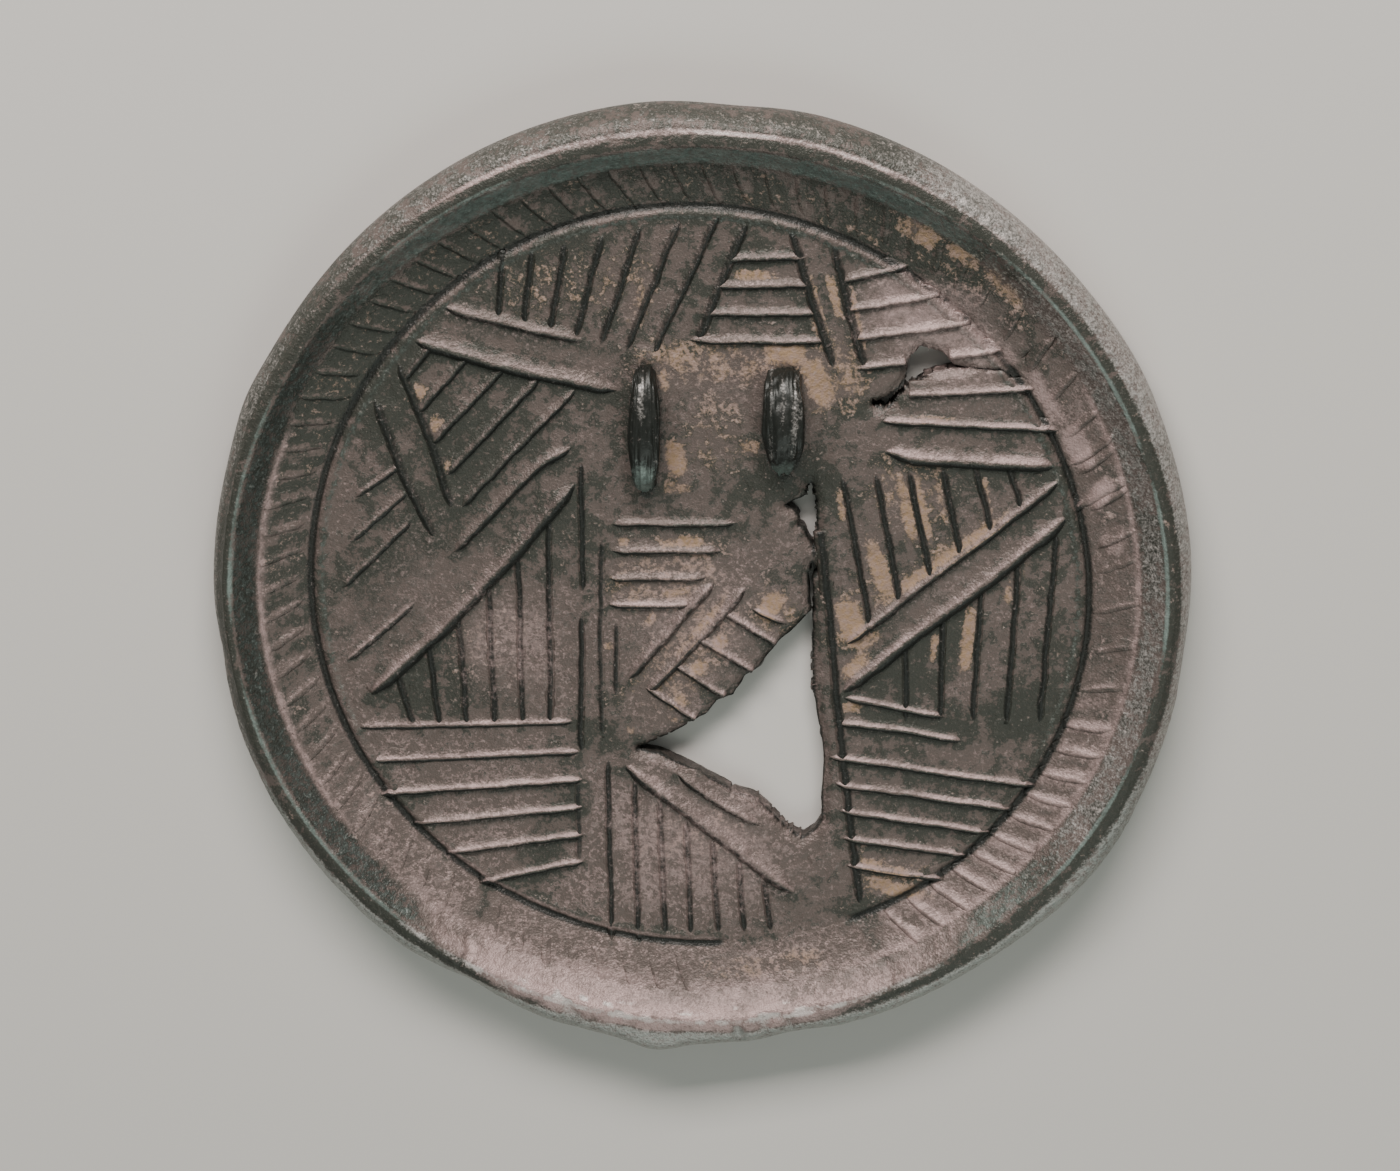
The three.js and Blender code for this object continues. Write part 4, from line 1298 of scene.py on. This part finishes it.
# Places across a raised line, as shares of its lee (below zero), which is the side away from the
# loops and from the key lamp, and of its other side. The last two are the keel under the face.
ACROSS = np.array([-1.12, -0.85, -0.6, -0.3, 0, 0.15, 0.33, 0.52, 0.74, 1, 1.1, 0.5, -0.5])
KEEL = np.r_[np.zeros(11, bool), True, True]
RIDGE_STEP = 0.34  # length of a face along a raised line
KEEL_DEPTH = 0.5
CREST_SHARE = 0.6  # a line's crest is what lies within this share on both sides
SHORTEST_RUN = 4  # a kept stretch of a line has at least so many sections
FULL_HEIGHT = 0.28  # a line this high or higher has its full colours

# A line's share of its width and height, and how black it is, in the field and on the border.
IN_FIELD = (1, 1, 0.95)
ON_BORDER = (1.05, 0.6, 0.4)


def line_course(path, seed):
    """Points along a line in equal steps, towards +X, and at each the direction to its far side,
    the length up to it and the distance to the nearer end. A running mean rounds the bends, and
    noise moves the points sideways."""
    points = sampled(path if path[-1][0] > path[0][0] else path[::-1], RIDGE_STEP)
    if len(path) > 2:
        padded = np.pad(points, ((4, 4), (0, 0)), mode="reflect", reflect_type="odd")
        window = np.ones(9) / 9
        points = np.stack([np.convolve(column, window, "valid") for column in padded.T], axis=1)
    along = np.gradient(points, axis=0)
    along /= np.linalg.norm(along, axis=1)[:, None]
    side = np.c_[-along[:, 1], along[:, 0]]
    length = np.r_[0, np.cumsum(np.hypot(*np.diff(points, axis=0).T))]
    points = points + side * (0.16 * rough(length, 0, 2.5, seed))[:, None]
    return points, side, length, np.minimum(length, length[-1] - length)


def swept_line(path, width, height, sizes, seed):
    """A raised line, carried along its path as a closed spindle.

    Its lee falls as one minus the share to the power 2.2. Its other side falls as one minus the
    share to the power 1.1, all to a power from 1.2 to 2.5: a hollow curve that runs out into the
    plate, longer and more hollow the more squarely the line faces the loops. Height and width waver
    by noise and run out softly at the ends. Also gives how black each vertex is, glossy black patina
    on the ridge and painted shadow on the lee, and how far it is on the side that faces the key
    lamp, where a painted highlight goes."""
    points, side, length, end = line_course(path, seed)
    facing = np.abs(side[:, 1])[:, None]
    taper = smooth(-0.3, 1.2, end / width)[:, None]
    vigour = 1 + 0.22 * rough(length, 0, 3.0, seed + 1)[:, None]
    waver = 1 + 0.15 * rough(length, 0, 1.8, seed + 2)[:, None]
    waver = (0.35 + 0.65 * taper) * waver
    tall = height * sizes.relief * taper * vigour * (0.62 + 0.38 * smooth(0.2, 0.7, facing))

    share = np.abs(ACROSS)[None, :]
    lee = (ACROSS < 0)[None, :]
    near_reach = width * waver * (0.46 - 0.06 * facing)
    far_reach = width * waver * (0.46 + 0.66 * facing)
    offset = np.where(lee, -near_reach, far_reach) * share
    held = np.minimum(share, 1)
    fall = np.where(lee, 1 - held**2.2, (1 - held**1.1) ** (1.2 + 1.3 * facing))
    lift = fall * tall - 0.12 * smooth(1, 1.1, share)
    lift = np.where(KEEL, -KEEL_DEPTH, lift - 0.015)
    x = points[:, :1] + side[:, :1] * offset
    y = points[:, 1:] + side[:, 1:] * offset
    z = face_height(x, y, sizes) + lift + 0.05 * rough(x, y, 0.8, 31) * ~KEEL * fall

    strong = np.clip(tall / FULL_HEIGHT, 0, 1)
    ridge = (1 - facing) * (1 - smooth(0.2, 0.85, share))
    foot = facing * (1 - 0.4 * smooth(0.7, 1.1, share))
    # Black: glossy patina along a line that runs towards the loops, and painted shadow on the lee of a
    # line that faces them.
    black = strong * (ridge + lee * foot) * ~KEEL
    # Painted highlight on the side that faces the key lamp.
    lit_flank = smooth(0.0, 0.1, share) * (1 - smooth(0.2, 0.55, share)) * ~lee * facing**1.2
    return np.stack([x, y, z], axis=2), black, strong * lit_flank


def kept_runs(grid):
    """Runs of a raised line's sections whose crest stands clear of the breaks, as slices."""
    crest = grid[:, np.abs(ACROSS) <= CREST_SHARE]
    x, y = crest[..., 0].ravel(), crest[..., 1].ravel()
    gone = np.zeros(x.size, bool)
    for outline in BREAKS.values():
        gone |= inside(ragged(outline), x, y)
    whole = ~gone.reshape(crest.shape[:2]).any(axis=1)
    starts = np.flatnonzero(whole & ~np.r_[False, whole[:-1]])
    ends = np.flatnonzero(whole & ~np.r_[whole[1:], False]) + 1
    return [slice(low, high) for low, high in zip(starts, ends) if high - low >= SHORTEST_RUN]


def build_lines(sizes, colours):
    """Raised lines of the field and the border, as one mesh of closed spindles."""
    tubes = Tubes()
    field, border = raised_lines(), border_lines()
    looks = [IN_FIELD] * len(field) + [ON_BORDER] * len(border)
    for number, ((path, width, height), look) in enumerate(zip(field + border, looks)):
        slim, low, blacked = look
        seed = 200 + 3 * number
        grid, black, lit_flank = swept_line(path, width * slim, height * low, sizes, seed)
        for kept in kept_runs(grid):
            tubes.add(grid[kept], blacked * black[kept], lit_flank[kept])
    points, faces, (black, lit_flank) = tubes.gathered()
    x, y, _ = points.T
    patina, wear = finish_at(points, sizes)
    # Black patina and painted shadow on the lees; on the side facing the key lamp less soil and shade,
    # and a painted rose highlight.
    patina[:, 0] = np.maximum(patina[:, 0], black)
    patina[:, 1] *= 1 - np.clip(black + 0.4 * lit_flank, 0, 1)
    patina[:, 2] *= 1 - 0.7 * lit_flank
    # Strength of the painted highlight: weaker towards the top and on the top of the border, where the
    # rim shades the lines.
    worn = 0.95 - 0.5 * sector(np.degrees(np.arctan2(y, x)), 120, 40, 40)
    worn = worn - 0.5 * smooth(45, 46, np.hypot(x, y)) * (y > 0)
    worn = worn * (0.82 + 0.3 * noise(x, y, 6, 131))
    wear[:, 0] = np.maximum(wear[:, 0], lit_flank * worn)
    piece = mesh_object("raised_lines", points, faces, {"patina": patina, "wear": wear})
    finish_piece(piece, colours)
    return piece


# ---- Cord loops ----


def loop_surface(loop, sizes, seed):
    """An arched strap with feet in the plate.

    In side view it lies between an outer and an inner half oval. At each angle of the arch the
    section is a squarish oval, as thick as the gap between the two ovals: its sine and cosine are
    taken to a power below one. Its width is full at the top of the arch and falls with the cosine
    of the angle, to the power 2.2, to the share given for the upper or the lower end. Streaks along
    it and a few broad lumps move its surface in and out. Also gives how far a vertex is on the
    back."""
    arch = np.linspace(*LOOP_ARCH, LOOP_ROWS)[:, None]
    around = np.linspace(0, 360, LOOP_SIDES, endpoint=False)[None, :]
    rise, turn = np.radians(arch), np.radians(around)
    outer_y, outer_z = loop["long"] / 2 * np.cos(rise), loop["high"] * np.sin(rise)
    inner_y = (loop["long"] / 2 - LOOP_FOOT) * np.cos(rise)
    inner_z = (loop["high"] - STRAP) * np.sin(rise)
    thick = np.sign(np.cos(turn)) * np.abs(np.cos(turn)) ** SQUARISH
    broad = np.sign(np.sin(turn)) * np.abs(np.sin(turn)) ** SQUARISH
    upper, lower = loop["ends"]
    narrow = 1 - np.where(arch < 90, upper, lower)
    width = loop["wide"] / 2 * (1 - narrow * np.abs(np.cos(rise)) ** 2.2)
    across = 30 * broad
    coarse = noise(across / 3.4, arch / 45, 1.0, seed)
    fine = noise(across / 1.6, arch / 28, 1.0, seed + 3)
    lumps = rough(across / 16, arch / 30, 1.0, seed + 5)
    streaks = (0.55 * coarse + 0.45 * fine) * smooth(-0.2, 0.4, thick)
    moved = (0.16 * streaks + 0.14 * lumps) / STRAP
    share = 0.5 + 0.5 * thick * (1 + 0.25 * lumps) + moved
    bent = 0.12 * noise(arch / 30, 0, 1, seed + 1)
    x = loop["x"] + width * broad * (1 + 0.07 * lumps) + bent
    y = loop["y"] + inner_y + (outer_y - inner_y) * share
    z = sizes.plate_top / MM + inner_z + (outer_z - inner_z) * share
    return np.stack([x, y, z], axis=2), np.broadcast_to(np.clip(thick, 0, 1), x.shape)


def build_loops(sizes, colours):
    """Both cord loops, as one mesh of two closed tubes, each with a pale lower end."""
    tubes = Tubes()
    for number, loop in enumerate(LOOPS):
        grid, back = loop_surface(loop, sizes, 400 + 10 * number)
        x, y = grid[..., 0], grid[..., 1]
        low_end = loop["y"] - loop["long"] / 2
        reach = low_end + loop["pale"] + 0.8 * rough(x, y, 1.5, number + 9) - y
        pale = 0.72 * back * smooth(-2.2, 2.2, reach)
        streak = 0.4 * back * smooth(0.1, 0.7, noise(x, 0.12 * y, 0.7, number + 17))
        tubes.add(grid, pale, streak)
    points, faces, (pale, streak) = tubes.gathered()
    patina = np.tile((1.0, 0.0, 1.0), (len(points), 1))
    attributes = {"patina": patina, "wear": np.c_[np.zeros(len(points)), pale, streak]}
    piece = mesh_object("cord_loops", points, faces, attributes)
    finish_piece(piece, colours, "Handled bronze")
    return piece


# ---- Stage ----


def build_floor(settings):
    """A plain square floor under the mirror."""
    half = FLOOR_SIDE / 2
    points = np.array([(-half, -half, 0), (half, -half, 0), (half, half, 0), (-half, half, 0)])
    floor = mesh_object("floor", points, [np.array([[0, 1, 2, 3]])], {})
    material = bpy.data.materials.new("Floor")
    material.use_nodes = True
    gloss = material.node_tree.nodes["Principled BSDF"]
    gloss.inputs["Base Color"].default_value = settings.floor_colour[:]
    gloss.inputs["Roughness"].default_value = 0.8
    floor.data.materials.append(material)


def build_lamp(name, place, power, size, tint):
    """A rectangular lamp that faces the middle of the disc."""
    lamp = bpy.data.lights.new(name, "AREA")
    lamp.shape = "RECTANGLE"
    lamp.energy = power
    lamp.size, lamp.size_y = size
    lamp.color = tint
    lamp_object = bpy.data.objects.new(name, lamp)
    lamp_object.location = place
    lamp_object.rotation_euler = (-Vector(place)).to_track_quat("-Z", "Y").to_euler()
    bpy.context.scene.collection.objects.link(lamp_object)


def build_camera(settings):
    """Camera above the loops' side, looking at the disc's middle with +Y upright in the picture."""
    camera = bpy.data.cameras.new("camera")
    camera.lens = settings.lens
    camera.sensor_width = SENSOR_WIDTH
    camera.clip_start = 0.01
    tilt, swing = settings.tilt, settings.swing
    back = Vector((np.sin(tilt) * np.sin(swing), np.sin(tilt) * np.cos(swing), np.cos(tilt)))
    camera_object = bpy.data.objects.new("camera", camera)
    camera_object.location = back * settings.distance
    up = (Vector((0, 1, 0)) - back * back.y).normalized()
    right = up.cross(back)
    camera_object.matrix_world = camera_matrix(right, up, back, camera_object.location)
    camera.shift_x, camera.shift_y = CAMERA_SHIFT
    bpy.context.scene.collection.objects.link(camera_object)
    bpy.context.scene.camera = camera_object


def camera_matrix(right, up, back, place):
    """World matrix of a camera from its three axes and its place."""
    columns = Matrix((right, up, back)).transposed().to_4x4()
    columns.translation = place
    return columns


def build_world():
    """An even, dim, slightly cool surrounding light."""
    world = bpy.data.worlds.new("studio")
    world.use_nodes = True
    background = world.node_tree.nodes["Background"]
    background.inputs["Color"].default_value = WORLD_COLOUR
    background.inputs["Strength"].default_value = WORLD_STRENGTH
    bpy.context.scene.world = world


# ---- Operators and panel ----


class MIRROR_OT_plate(bpy.types.Operator):
    """Builds the plate with its rim, its breaks and its underside"""

    bl_idname = "bronze_mirror.plate"
    bl_label = "Build plate and rim"

    def execute(self, context):
        build_plate(context.scene.mirror_sizes, context.scene.mirror_colours)
        return {"FINISHED"}


class MIRROR_OT_lines(bpy.types.Operator):
    """Builds the raised lines of the field and of the border"""

    bl_idname = "bronze_mirror.lines"
    bl_label = "Build raised lines"

    def execute(self, context):
        build_lines(context.scene.mirror_sizes, context.scene.mirror_colours)
        return {"FINISHED"}


class MIRROR_OT_loops(bpy.types.Operator):
    """Builds the two cord loops"""

    bl_idname = "bronze_mirror.loops"
    bl_label = "Build cord loops"

    def execute(self, context):
        build_loops(context.scene.mirror_sizes, context.scene.mirror_colours)
        return {"FINISHED"}


class MIRROR_OT_stage(bpy.types.Operator):
    """Builds the floor, the lamps and the camera"""

    bl_idname = "bronze_mirror.stage"
    bl_label = "Build stage"

    def execute(self, context):
        settings = context.scene.mirror_stage
        build_floor(settings)
        for name, power, place, size, tint in LAMPS:
            build_lamp(name, place, getattr(settings, power), size, tint)
        build_camera(settings)
        build_world()
        return {"FINISHED"}


class MIRROR_PT_panel(bpy.types.Panel):
    """Lists the steps that build the mirror and its stage."""

    bl_idname = "MIRROR_PT_panel"
    bl_label = "Bronze mirror"
    bl_space_type = "VIEW_3D"
    bl_region_type = "UI"
    bl_category = "Bronze mirror"

    def draw(self, context):
        """A button for each step, then a box of settings for each group."""
        for step in STEPS:
            self.layout.operator(step.bl_idname)
        for title, group in GROUPS.items():
            box = self.layout.box()
            for name in group.__annotations__:
                box.prop(getattr(context.scene, title), name)


STEPS = (MIRROR_OT_plate, MIRROR_OT_lines, MIRROR_OT_loops, MIRROR_OT_stage)
GROUPS = {
    "mirror_sizes": MirrorSizes,
    "mirror_colours": MirrorColours,
    "mirror_stage": StageSettings,
}
CLASSES = (*GROUPS.values(), *STEPS, MIRROR_PT_panel)


def register():
    """Registers the classes and hangs the groups of settings on the scene."""
    for each in CLASSES:
        bpy.utils.register_class(each)
    for name, group in GROUPS.items():
        setattr(bpy.types.Scene, name, PointerProperty(type=group))


def unregister():
    """Takes the groups of settings off the scene and unregisters the classes."""
    for name in GROUPS:
        delattr(bpy.types.Scene, name)
    for each in reversed(CLASSES):
        bpy.utils.unregister_class(each)


def main():
    """Registers the classes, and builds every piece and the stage."""
    register()
    bpy.ops.bronze_mirror.plate()
    bpy.ops.bronze_mirror.lines()
    bpy.ops.bronze_mirror.loops()
    bpy.ops.bronze_mirror.stage()


if __name__ == "__main__":
    main()
